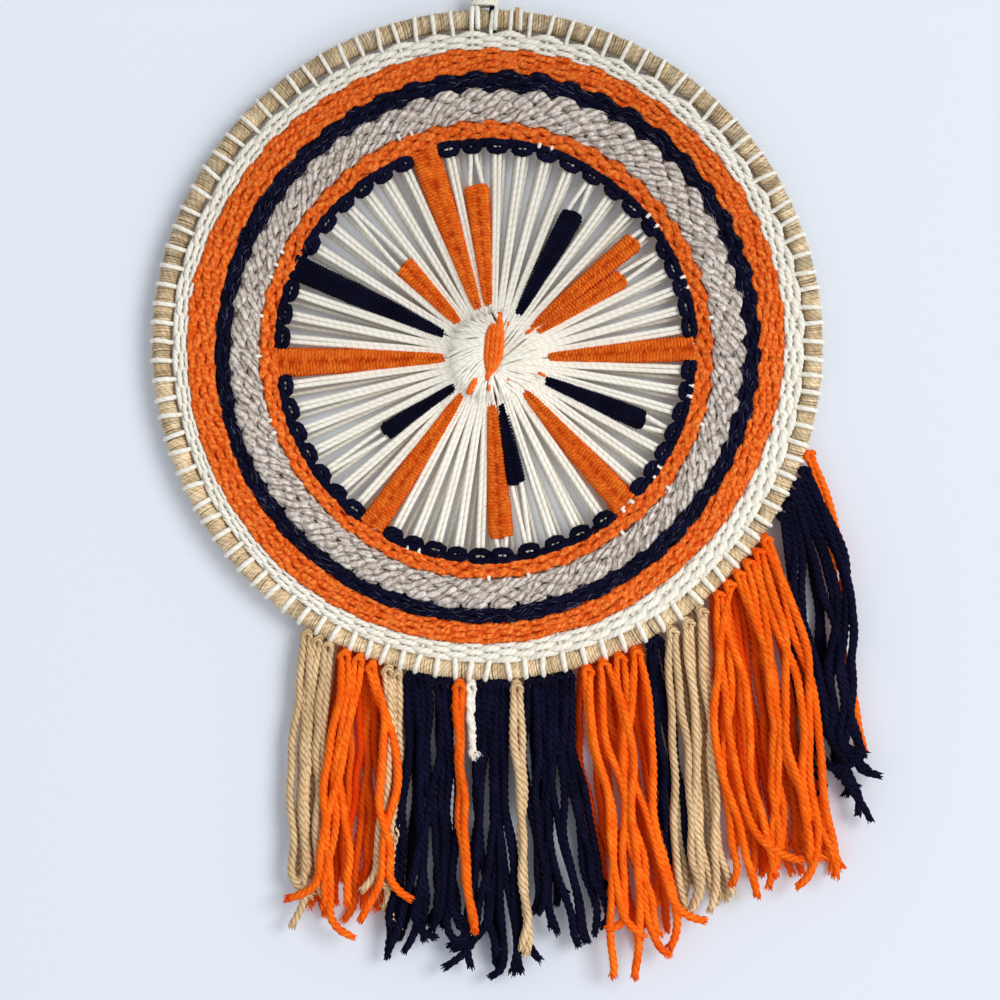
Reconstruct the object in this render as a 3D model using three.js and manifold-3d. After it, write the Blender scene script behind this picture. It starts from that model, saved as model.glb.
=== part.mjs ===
// Round woven wall hanging: a twine-wrapped hoop with a cotton warp, rings of weft,
// needle-woven spokes and a knotted yarn fringe along its lower right edge.
// Millimetres, +Z up, front facing -Y. The origin is where the nail holds the hanging loop.
import * as THREE from 'three';
import { mergeVertices } from 'three/addons/utils/BufferGeometryUtils.js';
import Module from 'manifold-3d';

const wasm = await Module();
wasm.setup();

// Driving dimensions
const hoopRadius = 145.5; // to the middle of the wrapped tube
const hoopTubeRadius = 4.4;
const loopHeight = 33; // from the top of the hoop to the nail
const gap = 0.3; // between neighbouring pieces
const pairCount = 54; // warp threads lie in pairs
const hub = { x: 2.5, z: -5.4 }; // where the warp is gathered, just off the hoop's centre
const hubRadius = 17; // inside this the pairs touch and form one disc
const hubHoleRadius = 8.2;
const threadLayer = 2; // thickness of one layer of warp
const frontWarp = { front: -4, back: -4 + threadLayer };
const backWarp = { front: 1.5, back: 1.5 + threadLayer };
const pairWidth = { atHub: 1.4, atEdge: 4.6 };
const backPairWidth = { atHub: 1.2, atEdge: 2.6 };
const coreWidth = { atHub: 1, atEdge: 2.4 }; // the pair inside a spoke, pulled together
const cloth = { front: -5.5, back: -0.5 }; // faces of the woven rings
const spokeFaces = { front: -6, back: -0.2 };
const hoopBack = hoopRadius - hoopTubeRadius - 0.8; // where the back warp stops, inside the hoop
const header = { inner: 150.6, outer: 158, front: -4.2, back: 4.2 }; // row of fringe knots
const knotGapDegrees = 0.15;
const notchHalf = 0.7; // half the gap between two strands at their tips
const bandReach = 4; // how far the cut for a spoke runs on, past the chain
const cordDiameter = 3;

const yarn = {
  cream: { color: 0xefebdf, roughness: 0.9, metalness: 0 },
  orange: { color: 0xf2600f, roughness: 0.95, metalness: 0 },
  navy: { color: 0x0e1220, roughness: 0.95, metalness: 0 },
  taupe: { color: 0xc9bdb3, roughness: 0.95, metalness: 0 },
  tan: { color: 0xc8a97b, roughness: 0.9, metalness: 0 },
  jute: { color: 0xbd9a63, roughness: 0.85, metalness: 0 },
};

// Edges between the woven rings, from the hoop inwards: each is a circle a little off the
// hoop's centre, with one wave for each warp pair.
const edges = {
  hoopSide: { radius: 140.2, right: 0, up: -0.5, wave: 0.3 },
  creamOrange: { radius: 132.6, right: 0, up: -0.6, wave: 0.7 },
  orangeNavy: { radius: 121.9, right: -0.4, up: -0.9, wave: 0.8 },
  navyTaupe: { radius: 114.3, right: -0.6, up: -1.3, wave: 1.1 },
  taupeOrange: { radius: 101.3, right: -1.3, up: -1.1, wave: 0.5 },
  orangeChain: { radius: 93.5, right: -1.2, up: -2.4, wave: 0.4 },
  chainInner: { radius: 86.4, right: -1, up: -3.7, wave: 0.6 },
};

const rings = [
  { node: 'band_cream', yarn: 'cream', outer: 'hoopSide', inner: 'creamOrange' },
  { node: 'band_orange_outer', yarn: 'orange', outer: 'creamOrange', inner: 'orangeNavy' },
  { node: 'band_navy', yarn: 'navy', outer: 'orangeNavy', inner: 'navyTaupe' },
  { node: 'band_taupe', yarn: 'taupe', outer: 'navyTaupe', inner: 'taupeOrange' },
  { node: 'band_orange_inner', yarn: 'orange', outer: 'taupeOrange', inner: 'orangeChain' },
];

// Spokes, each on one warp pair. Pairs are counted anticlockwise from the right, and the
// degrees say where a pair meets the weaving: the pairs between two spokes are evenly spaced.
// from and to are distances from the hub, tip and end the widths there.
// A full spoke runs out to the inner orange ring.
const spokes = [
  { pair: 0, degrees: -1, yarn: 'orange', from: 25, to: 'ring', tip: 3, end: 10.7 },
  { pair: 5, degrees: 29.1, yarn: 'orange', from: 24.5, to: 67.5, tip: 2.4, end: 7.2 },
  { pair: 6, degrees: 36.2, yarn: 'orange', from: 23, to: 81.5, tip: 2.4, end: 8.2 },
  { pair: 9, degrees: 59.1, yarn: 'navy', from: 22.5, to: 73.3, tip: 3.4, end: 8.5 },
  { pair: 14, degrees: 94.4, yarn: 'orange', from: 23.5, to: 76.4, tip: 3, end: 8.2 },
  { pair: 16, degrees: 108, yarn: 'orange', from: 23, to: 'ring', tip: 3.4, end: 11.6 },
  { pair: 20, degrees: 135.3, yarn: 'orange', from: 21, to: 56.7, tip: 3, end: 8.8 },
  { pair: 23, degrees: 157.6, yarn: 'navy', from: 25, to: 'ring', tip: 3.4, end: 11.6 },
  { pair: 27, degrees: 184.5, yarn: 'orange', from: 21, to: 'ring', tip: 3, end: 11.6 },
  { pair: 32, degrees: 217.4, yarn: 'navy', from: 22, to: 58.7, tip: 3, end: 6.2 },
  { pair: 35, degrees: 237.5, yarn: 'orange', from: 23.5, to: 'ring', tip: 3, end: 11.6 },
  { pair: 41, degrees: 275, yarn: 'orange', from: 20.5, to: 80.3, tip: 3, end: 9.4 },
  { pair: 42, degrees: 281.8, yarn: 'navy', from: 25.5, to: 57.3, tip: 2.8, end: 5.6 },
  { pair: 46, degrees: 311, yarn: 'orange', from: 22, to: 'ring', tip: 3, end: 12 },
  { pair: 50, degrees: 334.7, yarn: 'navy', from: 26.5, to: 73, tip: 3.8, end: 7.4 },
];
const fullSpokes = spokes.filter((spoke) => spoke.to === 'ring');

// Fringe: the stretch of hoop that each bundle is knotted to, the x reach of its strands half
// way down and at the tips, the height of the lowest tip and how uneven the tips are.
const layers = {
  front: { front: -6, back: -2.4 },
  middle: { front: -2, back: 1.6 },
  back: { front: 2, back: 5.6 },
};
const fringe = [
  { yarn: 'tan', from: 236.8, to: 243.7, layer: 'back', strands: 3,
    midLeft: -86.8, midRight: -71.5, tipLeft: -87.5, tipRight: -72, bottom: -265, uneven: 34 },
  { yarn: 'orange', from: 243.7, to: 252, layer: 'front', strands: 6,
    midLeft: -72.5, midRight: -45.8, tipLeft: -81.5, tipRight: -39, bottom: -272, uneven: 22 },
  { yarn: 'tan', from: 252, to: 255.9, layer: 'middle', strands: 3,
    midLeft: -50, midRight: -35.5, tipLeft: -54.5, tipRight: -37, bottom: -250, uneven: 10 },
  { yarn: 'navy', from: 255.9, to: 264.3, layer: 'back', strands: 6,
    midLeft: -39, midRight: -12.3, tipLeft: -46, tipRight: -8, bottom: -277, uneven: 16 },
  { yarn: 'orange', from: 264.3, to: 266.3, layer: 'front', strands: 1,
    midLeft: -15, midRight: -8, tipLeft: -9, tipRight: -3.5, bottom: -261, uneven: 4 },
  { yarn: 'cream', from: 266.6, to: 268, layer: 'back', strands: 1,
    midLeft: -8.3, midRight: -4.3, tipLeft: -8, tipRight: -4.5, bottom: -185, uneven: 3 },
  { yarn: 'navy', from: 268, to: 273.9, layer: 'middle', strands: 5,
    midLeft: -7, midRight: 14.5, tipLeft: -14.5, tipRight: 19, bottom: -288, uneven: 10 },
  { yarn: 'tan', from: 273.9, to: 275.9, layer: 'front', strands: 2,
    midLeft: 11, midRight: 19, tipLeft: 14.5, tipRight: 23.5, bottom: -276, uneven: 9 },
  { yarn: 'navy', from: 275.9, to: 285.1, layer: 'back', strands: 6,
    midLeft: 21, midRight: 46, tipLeft: 23.5, tipRight: 60, bottom: -269, uneven: 12 },
  { yarn: 'orange', from: 285.1, to: 297.9, layer: 'front', strands: 7,
    midLeft: 41, midRight: 79, tipLeft: 50, tipRight: 90.5, bottom: -285, uneven: 28 },
  { yarn: 'navy', from: 297.9, to: 300.6, layer: 'back', strands: 2,
    midLeft: 73, midRight: 90, tipLeft: 77, tipRight: 95, bottom: -239, uneven: 8 },
  { yarn: 'tan', from: 300.6, to: 310.6, layer: 'middle', strands: 6,
    midLeft: 79.5, midRight: 104, tipLeft: 86, tipRight: 112.5, bottom: -254, uneven: 11 },
  { yarn: 'orange', from: 310.6, to: 326.8, layer: 'front', strands: 9,
    midLeft: 100.5, midRight: 150.5, tipLeft: 110.5, tipRight: 159.5, bottom: -245, uneven: 14 },
  { yarn: 'navy', from: 328, to: 339.8, layer: 'middle', strands: 6,
    midLeft: 134, midRight: 162, tipLeft: 150.5, tipRight: 171.5, bottom: -218, uneven: 24 },
  { yarn: 'orange', from: 340.2, to: 341.8, layer: 'back', strands: 1,
    midLeft: 157, midRight: 161.5, tipLeft: 167, tipRight: 172.5, bottom: -182, uneven: 3 },
];

const radians = THREE.MathUtils.degToRad;
const lerp = THREE.MathUtils.lerp;

function toSolid(geometry) {
  geometry.deleteAttribute('normal');
  geometry.deleteAttribute('uv');
  const merged = mergeVertices(geometry, 1e-4);
  const vertProperties = new Float32Array(merged.attributes.position.array);
  const triVerts = new Uint32Array(merged.index.array);
  return new wasm.Manifold(new wasm.Mesh({ numProp: 3, vertProperties, triVerts }));
}

function toGeometry(solid) {
  const mesh = solid.getMesh();
  const geometry = new THREE.BufferGeometry();
  geometry.setAttribute('position', new THREE.BufferAttribute(new Float32Array(mesh.vertProperties), 3));
  geometry.setIndex(new THREE.BufferAttribute(new Uint32Array(mesh.triVerts), 1));
  return geometry;
}

// A flat piece: its outline, seen from the front, between two depths.
function slab(points, faces, hole) {
  const shape = new THREE.Shape(points);
  if (hole) shape.holes.push(new THREE.Path(hole));
  const geometry = new THREE.ExtrudeGeometry(shape, { depth: faces.back - faces.front, bevelEnabled: false });
  return geometry.rotateX(Math.PI / 2).translate(0, faces.back, 0);
}

function circle(centre, radius, count) {
  const points = [];
  for (let i = 0; i < count; i += 1) {
    const angle = (i / count) * 2 * Math.PI;
    points.push(new THREE.Vector2(centre.x + radius * Math.cos(angle), centre.z + radius * Math.sin(angle)));
  }
  return points;
}

function polar(radius, angle) {
  return new THREE.Vector2(radius * Math.cos(angle), radius * Math.sin(angle));
}

// A point on the edge of a ring, seen from the hoop's centre.
function edgePoint(edge, angle, offset = 0) {
  const shift = edge.right * Math.cos(angle) + edge.up * Math.sin(angle);
  const wave = edge.wave * Math.cos(pairCount * angle);
  return polar(edge.radius + shift + wave + offset, angle);
}

// The spoke after this one, with its pair and degrees counted on past a full turn.
function following(list, index) {
  if (index + 1 < list.length) return list[index + 1];
  return { ...list[0], pair: list[0].pair + pairCount, degrees: list[0].degrees + 360 };
}

function pairAngle(pair) {
  const index = spokes.findLastIndex((row) => row.pair <= pair);
  const a = spokes[index];
  const b = following(spokes, index);
  return radians(lerp(a.degrees, b.degrees, (pair - a.pair) / (b.pair - a.pair)));
}

// The straight line of one warp pair from the hub to a ring's edge: length, direction and side.
function pairLine(pair, edge, offset = 0) {
  const start = new THREE.Vector2(hub.x, hub.z);
  const end = edgePoint({ ...edge, wave: 0 }, pairAngle(pair), offset);
  const along = end.clone().sub(start);
  const length = along.length();
  along.normalize();
  return { start, along, side: new THREE.Vector2(-along.y, along.x), length };
}

function onLine(line, distance, aside) {
  return line.start.clone().addScaledVector(line.along, distance).addScaledVector(line.side, aside);
}

// A tapered strip along a pair, grown by the clearance on its sides and ends.
function strip(line, from, to, widthFrom, widthTo, clearance = 0) {
  const a = widthFrom / 2 + clearance;
  const b = widthTo / 2 + clearance;
  return [
    onLine(line, from - clearance, -a),
    onLine(line, to + clearance, -b),
    onLine(line, to + clearance, b),
    onLine(line, from - clearance, a),
  ];
}

function grow(faces, clearance) {
  return { front: faces.front - clearance, back: faces.back + clearance };
}

// One layer of warp: a disc at the hub with a bar for each pair.
function warpStar(edge, offset, width, faces) {
  const outline = [];
  for (let pair = 0; pair < pairCount; pair += 1) {
    const line = pairLine(pair, edge, offset);
    const nextLine = pairLine((pair + 1) % pairCount, edge, offset);
    const valley = line.along.clone().add(nextLine.along).normalize();
    outline.push(onLine(line, hubRadius + 3, -width.atHub / 2));
    outline.push(onLine(line, line.length, -width.atEdge / 2));
    outline.push(onLine(line, line.length, width.atEdge / 2));
    outline.push(onLine(line, hubRadius + 3, width.atHub / 2));
    outline.push(line.start.clone().addScaledVector(valley, hubRadius));
  }
  return slab(outline, faces, circle(hub, hubHoleRadius, 24));
}

function spokeLine(spoke) {
  const edge = spoke.to === 'ring' ? edges.orangeChain : edges.chainInner;
  const line = pairLine(spoke.pair, edge, -2 * gap - edge.wave);
  const end = spoke.to === 'ring' ? line.length : spoke.to;
  return { line, end };
}

function spokeBlock(spoke, clearance = 0, beyond = 0) {
  const { line, end } = spokeLine(spoke);
  const outline = strip(line, spoke.from, end + beyond, spoke.tip, spoke.end, clearance);
  return toSolid(slab(outline, grow(spokeFaces, clearance)));
}

// The pair that runs through a spoke, from the hub's disc to just past the spoke's end.
function spokeCore(spoke, clearance = 0) {
  const { line, end } = spokeLine(spoke);
  const full = spoke.to === 'ring';
  const stop = full ? end - 4 : line.length - gap;
  const outline = strip(line, hubRadius - 2, stop, coreWidth.atHub, coreWidth.atEdge, clearance);
  return toSolid(slab(outline, grow(frontWarp, clearance)));
}

function frontWarpGeometry() {
  let web = toSolid(warpStar(edges.chainInner, -gap - edges.chainInner.wave, pairWidth, frontWarp));
  for (const spoke of spokes) web = web.subtract(spokeBlock(spoke, gap));
  for (const spoke of spokes) web = web.add(spokeCore(spoke));
  return toGeometry(web);
}

function backWarpGeometry() {
  const rim = { radius: hoopBack, right: 0, up: 0, wave: 0 };
  return warpStar(rim, 0, backPairWidth, backWarp);
}

// Needle-woven spoke: wrapped yarn round its pair, so it has a channel along it.
function spokeGeometry(spoke) {
  return toGeometry(spokeBlock(spoke).subtract(spokeCore(spoke, gap)));
}

const ringStep = Math.PI / pairCount; // two points for each wave

function ringOutline(edge, offset) {
  const points = [];
  for (let i = 0; i < 2 * pairCount; i += 1) points.push(edgePoint(edge, i * ringStep, offset));
  return points;
}

function ringGeometry(row) {
  const outer = ringOutline(edges[row.outer], -gap / 2);
  const inner = ringOutline(edges[row.inner], gap / 2);
  return slab(outer, cloth, inner);
}

// The chain of navy loops stops at each full spoke.
function chainGeometry(index) {
  const first = Math.ceil(radians(fullSpokes[index].degrees) / ringStep);
  const last = Math.floor(radians(following(fullSpokes, index).degrees) / ringStep);
  const outline = [];
  for (let i = first; i <= last; i += 1) {
    outline.push(edgePoint(edges.chainInner, i * ringStep, gap / 2));
  }
  for (let i = last; i >= first; i -= 1) {
    outline.push(edgePoint(edges.orangeChain, i * ringStep, -gap / 2));
  }
  let chain = toSolid(slab(outline, cloth));
  for (const spoke of fullSpokes) chain = chain.subtract(spokeBlock(spoke, gap, bandReach));
  return toGeometry(chain);
}

function arcPoints(radius, fromAngle, toAngle) {
  const count = Math.max(2, Math.ceil(Math.abs(toAngle - fromAngle) / radians(3)));
  const points = [];
  for (let i = 0; i <= count; i += 1) points.push(polar(radius, lerp(fromAngle, toAngle, i / count)));
  return points;
}

// The line between two strands of a bundle: it starts half way down, and runs to the lowest tip.
function strandEdge(row, share) {
  const onHoop = polar(header.outer, radians(lerp(row.from, row.to, share)));
  const root = new THREE.Vector2(
    lerp(row.midLeft, row.midRight, share),
    lerp(onHoop.y, row.bottom, 0.45),
  );
  const tipX = lerp(row.tipLeft, row.tipRight, share);
  const cutAt = (z, aside) => {
    const part = (root.y - z) / (root.y - row.bottom);
    return new THREE.Vector2(lerp(root.x, tipX, part) + aside, z);
  };
  return { root, cutAt };
}

// A comb: the row of knots along the hoop, and strands that part half way down.
function fringeGeometry(row) {
  const first = radians(row.from + knotGapDegrees);
  const last = radians(row.to - knotGapDegrees);
  const knots = slab(
    [...arcPoints(header.outer, first, last), ...arcPoints(header.inner, last, first)],
    header,
  );
  const outline = [polar(header.outer - 1, first)];
  for (let i = 0; i < row.strands; i += 1) {
    const tipZ = row.bottom + row.uneven * Math.abs(Math.sin(2.4 * i + 1));
    const left = strandEdge(row, i / row.strands);
    const right = strandEdge(row, (i + 1) / row.strands);
    outline.push(left.root, left.cutAt(tipZ, notchHalf), right.cutAt(tipZ, -notchHalf));
  }
  outline.push(strandEdge(row, 1).root, polar(header.outer - 1, last));
  const clearOfHoop = slab(circle({ x: 0, z: 0 }, header.outer - 0.4, 180), { front: -20, back: 20 });
  const strands = toSolid(slab(outline, layers[row.layer])).subtract(toSolid(clearOfHoop));
  return toGeometry(strands.add(toSolid(knots)));
}

function hoopGeometry() {
  const profile = [];
  const sides = 10;
  for (let i = 0; i <= sides; i += 1) {
    const angle = (i / sides) * 2 * Math.PI;
    profile.push(new THREE.Vector2(
      hoopRadius + hoopTubeRadius * Math.cos(angle),
      hoopTubeRadius * Math.sin(angle),
    ));
  }
  return new THREE.LatheGeometry(profile, 90);
}

// The gathered centre: a cushion of warp in front, a neck through both layers, a knot behind.
function centreKnotGeometry() {
  const neck = hubHoleRadius / 1.12 - 2 * gap;
  const under = frontWarp.front - gap;
  const behind = backWarp.back + gap;
  const profile = [
    [0, -9], [8, -8.6], [14, -7], [17, under - 0.8], [16.6, under], [neck, under],
    [neck, behind], [10, behind], [9, behind + 2], [0, behind + 3],
  ];
  const points = profile.map(([radius, depth]) => new THREE.Vector2(radius, depth));
  return new THREE.LatheGeometry(points, 28).scale(1.12, 1, 1);
}

// The small orange oval sewn on the centre.
function centreEyeGeometry() {
  return new THREE.SphereGeometry(1, 16, 8).scale(4.6, 1.6, 10.2);
}

function hangingLoopGeometry() {
  const top = hoopRadius + hoopTubeRadius;
  const centreTop = loopHeight + cordDiameter / 2;
  const route = [
    { x: -3.2, up: 7.4 }, { x: -4, up: 12 }, { x: -4.4, up: 18 }, { x: -4.6, up: 24 },
    { x: -4.2, up: 30 }, { x: -2.6, up: centreTop - 1.1 }, { x: 0, up: centreTop },
    { x: 2.6, up: centreTop - 1.1 }, { x: 4.2, up: 30 }, { x: 4.6, up: 24 },
    { x: 4.4, up: 18 }, { x: 4, up: 12 }, { x: 3.2, up: 7.4 },
  ];
  const curve = new THREE.CatmullRomCurve3(route.map(({ x, up }) => new THREE.Vector3(x, 0, top + up)));
  const section = new THREE.Shape(circle({ x: 0, z: 0 }, cordDiameter / 2, 8));
  return new THREE.ExtrudeGeometry(section, { steps: 22, extrudePath: curve });
}

function hangingKnotGeometry() {
  return new THREE.SphereGeometry(1, 18, 10).scale(10.5, 4.6, 3.4);
}

const group = new THREE.Group();
group.position.z = -(loopHeight + hoopRadius + hoopTubeRadius);

function addPiece(name, yarnName, geometry) {
  const piece = new THREE.Mesh(geometry, new THREE.MeshStandardMaterial(yarn[yarnName]));
  piece.name = name;
  group.add(piece);
  return piece;
}

addPiece('wrapped_hoop', 'jute', hoopGeometry());
addPiece('front_warp', 'cream', frontWarpGeometry());
addPiece('back_warp', 'cream', backWarpGeometry());
for (const row of rings) addPiece(row.node, row.yarn, ringGeometry(row));
fullSpokes.forEach((spoke, i) => addPiece(`chain_${i + 1}`, 'navy', chainGeometry(i)));
for (const spoke of spokes) {
  addPiece(`spoke_${spoke.yarn}_pair_${spoke.pair}`, spoke.yarn, spokeGeometry(spoke));
}
const centreKnot = addPiece('centre_knot', 'cream', centreKnotGeometry());
centreKnot.position.set(hub.x, 0, hub.z);
const centreEye = addPiece('centre_eye', 'orange', centreEyeGeometry());
centreEye.position.set(hub.x + 0.5, -9 - 1.6 - gap, hub.z + 4.5);
fringe.forEach((row, i) => addPiece(`fringe_${i + 1}_${row.yarn}`, row.yarn, fringeGeometry(row)));
addPiece('hanging_loop', 'cream', hangingLoopGeometry());
const hangingKnot = addPiece('hanging_knot', 'cream', hangingKnotGeometry());
hangingKnot.position.set(1.5, 0, hoopRadius + hoopTubeRadius + 3.4 + gap);

export default group;
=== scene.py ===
import math

import bmesh
import bpy
import numpy as np
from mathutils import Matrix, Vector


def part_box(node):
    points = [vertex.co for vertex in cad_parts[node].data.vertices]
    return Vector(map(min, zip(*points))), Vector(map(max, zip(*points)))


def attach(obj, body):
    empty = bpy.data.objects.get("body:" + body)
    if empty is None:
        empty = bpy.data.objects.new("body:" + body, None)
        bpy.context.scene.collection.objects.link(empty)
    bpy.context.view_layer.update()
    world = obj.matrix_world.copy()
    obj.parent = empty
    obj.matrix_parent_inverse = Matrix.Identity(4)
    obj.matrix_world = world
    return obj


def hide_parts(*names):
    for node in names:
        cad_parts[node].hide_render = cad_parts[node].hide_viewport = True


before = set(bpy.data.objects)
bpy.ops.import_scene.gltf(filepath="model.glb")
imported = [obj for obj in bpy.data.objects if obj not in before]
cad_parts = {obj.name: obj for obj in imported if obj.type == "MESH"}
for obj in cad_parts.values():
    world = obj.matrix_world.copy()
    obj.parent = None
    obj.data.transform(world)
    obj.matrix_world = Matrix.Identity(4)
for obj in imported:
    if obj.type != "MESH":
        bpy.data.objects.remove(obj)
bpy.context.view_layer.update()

# Everything below is worked out in millimetres from the middle of the hoop:
# x to the right, y to the back, z up. placeMesh turns it into metres in the CAD frame.
mm = 0.001
hoopLow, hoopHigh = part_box("wrapped_hoop")
hoopCentre = (hoopLow + hoopHigh) / 2
hubLow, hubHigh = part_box("centre_knot")
hub = np.array([(hubLow.x + hubHigh.x) / 2 - hoopCentre.x, (hubLow.z + hubHigh.z) / 2 - hoopCentre.z]) / mm

hoop = {"tube": 4.4}      # radius of the tube that ring and twine make
hoop["radius"] = (hoopHigh.x - hoopLow.x) / 2 / mm - hoop["tube"]  # of that tube's middle line
hoop["rim"] = hoop["radius"] + hoop["tube"]
hoop["inside"] = hoop["radius"] - hoop["tube"]
pairCount = 54
threadCount = 2 * pairCount
clothMiddle = -3.0        # depth of the warp inside the weaving


def addObject(name, data):
    made = bpy.data.objects.new(name, data)
    bpy.context.scene.collection.objects.link(made)
    return made


print("stage: camera")
cameraSetup = {
    "distance": 1000,
    "lens": 80.6,
    "sensor": 36,
    "aim": (5.6, -69.2),  # right and up from the middle of the hoop
}
camera = addObject("camera", bpy.data.cameras.new("camera"))
camera.data.lens = cameraSetup["lens"]
camera.data.sensor_width = cameraSetup["sensor"]
camera.location = (
    hoopCentre.x + cameraSetup["aim"][0] * mm,
    hoopCentre.y - cameraSetup["distance"] * mm,
    hoopCentre.z + cameraSetup["aim"][1] * mm,
)
camera.rotation_euler = (math.pi / 2, 0, 0)
bpy.context.scene.camera = camera


print("stage: materials")


def linear(hexColour):
    channels = [int(hexColour[i:i + 2], 16) / 255 for i in (1, 3, 5)]
    return (*[c / 12.92 if c <= 0.04045 else ((c + 0.055) / 1.055) ** 2.4 for c in channels], 1)


def addNode(tree, kind, links=None, **settings):
    # links gives each input a value, another node's output or a node, for its first output
    node = tree.nodes.new(kind)
    for key, value in settings.items():
        setattr(node, key, value)
    for key, value in (links or {}).items():
        value = value.outputs[0] if isinstance(value, bpy.types.Node) else value
        if isinstance(value, bpy.types.NodeSocket):
            tree.links.new(value, node.inputs[key])
        else:
            node.inputs[key].default_value = value
    return node


def newMaterial(name):
    material = bpy.data.materials.new(name)
    material.use_nodes = True
    material.node_tree.nodes.clear()
    return material, material.node_tree


# What all yarns have in common. A look may give any of these a value of its own.
anyYarn = {
    "ior": 1.5,
    "specular": 0.15,
    "sheenRoughness": 0.45,
    "fibreDetail": 3.0,
    "fibreRoughness": 0.65,
    "fibreTones": (0.32, 0.68),  # noise at which a fibre is at its darkest and its palest
    "crossing": (0.35, 0.65),    # noise between which fibres come to lie across a groove
    "crossed": 0.35,             # share of a groove's painted shade that they leave
    "patchDetail": 2.0,
    "patchEdge": 0.15,           # how gradually a patch sets in
    "apart": 37.0,               # keeps the fibres of two strands from being alike
    "behind": 0.4,               # a strand with a tone under this is painted in shade
    "shaded": 0.0,               # how far its colour then goes towards the colour shade, as painted shade
}


def plySeam(tree, look, lay):
    # 0 in the groove between two plies and 1 on a ply
    twist = addNode(tree, "ShaderNodeAttribute", attribute_name="twist")
    parts = addNode(tree, "ShaderNodeSeparateXYZ", {0: lay})
    place = addNode(tree, "ShaderNodeMath", {0: parts.outputs["Y"], 1: parts.outputs["X"]},
                    operation="ARCTAN2")
    turn = addNode(tree, "ShaderNodeMath", {0: place, 1: twist.outputs["Fac"]}, operation="SUBTRACT")
    half = addNode(tree, "ShaderNodeMath", {0: turn, 1: look["plies"] / 2}, operation="MULTIPLY")
    wave = addNode(tree, "ShaderNodeMath", {0: half}, operation="COSINE")
    ridge = addNode(tree, "ShaderNodeMath", {0: wave}, operation="ABSOLUTE")
    return addNode(tree, "ShaderNodeMapRange", {0: ridge, 1: 0.0, 2: look["seam"], 3: 0.0, 4: 1.0},
                   interpolation_type="SMOOTHSTEP")


def fibreNoise(tree, look, lay, strand):
    # fibres run almost along the yarn, so the noise is drawn out along it
    stretch = addNode(tree, "ShaderNodeVectorMath", {0: lay, 1: (1, 1, look["fibreLength"])},
                      operation="MULTIPLY")
    apart = addNode(tree, "ShaderNodeMath", {0: strand, 1: look["apart"]}, operation="MULTIPLY")
    return addNode(tree, "ShaderNodeTexNoise",
                   {"Vector": stretch, "W": apart, "Scale": look["fibres"], "Detail": look["fibreDetail"],
                    "Roughness": look["fibreRoughness"]}, noise_dimensions="4D")


def yarnColour(tree, look, strand, seam, fibres):
    # fibres of two tones, patches over them, painted shade in the grooves between plies, and then the
    # strand's own tone
    darkest, palest = look["fibreTones"]
    fibreTone = addNode(tree, "ShaderNodeMapRange", {0: fibres, 1: darkest, 2: palest, 3: 0.0, 4: 1.0})
    body = addNode(tree, "ShaderNodeMix",
                   {"Factor": fibreTone, "A": linear(look["base"]), "B": linear(look["light"])},
                   data_type="RGBA")
    where = addNode(tree, "ShaderNodeTexCoord")
    patches = addNode(tree, "ShaderNodeTexNoise",
                      {"Vector": where.outputs["Object"], "Scale": look["patches"],
                       "Detail": look["patchDetail"]})
    patchTone = addNode(tree, "ShaderNodeMapRange",
                        {0: patches, 1: 0.5 - look["patchEdge"], 2: 0.5 + look["patchEdge"],
                         3: 0.0, 4: look["patchAmount"]})
    patched = addNode(tree, "ShaderNodeMix",
                      {"Factor": patchTone, "A": body.outputs["Result"], "B": linear(look["patch"])},
                      data_type="RGBA")
    # painted shade: the grooves between plies are painted towards the colour groove, less where fibres
    # cross them
    depth = addNode(tree, "ShaderNodeMath", {0: 1.0, 1: seam}, operation="SUBTRACT")
    broken = addNode(tree, "ShaderNodeMapRange",
                     {0: fibres, 1: look["crossing"][0], 2: look["crossing"][1],
                      3: look["seamShade"], 4: look["crossed"] * look["seamShade"]})
    dark = addNode(tree, "ShaderNodeMath", {0: depth, 1: broken}, operation="MULTIPLY")
    grooved = addNode(tree, "ShaderNodeMix",
                      {"Factor": dark, "A": patched.outputs["Result"], "B": linear(look["groove"])},
                      data_type="RGBA")
    own = addNode(tree, "ShaderNodeMapRange",
                  {0: strand, 1: 0.0, 2: 1.0, 3: 1 - look["uneven"], 4: 1 + look["uneven"]})
    toned = addNode(tree, "ShaderNodeHueSaturation", {"Value": own, "Color": grooved.outputs["Result"]})
    # painted shade: a low tone, on a strand behind others or where a wrap dives, is painted towards the
    # colour shade
    behind = addNode(tree, "ShaderNodeMapRange",
                     {0: strand, 1: 0.0, 2: look["behind"], 3: look["shaded"], 4: 0.0})
    deepened = addNode(tree, "ShaderNodeMix",
                       {"Factor": behind, "A": toned, "B": linear(look.get("shade", look["groove"]))},
                       data_type="RGBA")
    return deepened.outputs["Result"]


def yarnBump(tree, look, seam, fibres):
    fibreHeight = addNode(tree, "ShaderNodeMath", {0: fibres, 1: look["fibreHeight"]}, operation="MULTIPLY")
    height = addNode(tree, "ShaderNodeMath", {0: seam, 1: fibreHeight}, operation="ADD")
    return addNode(tree, "ShaderNodeBump",
                   {"Strength": look["bump"], "Distance": look["bumpDepth"] * mm, "Height": height})


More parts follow.
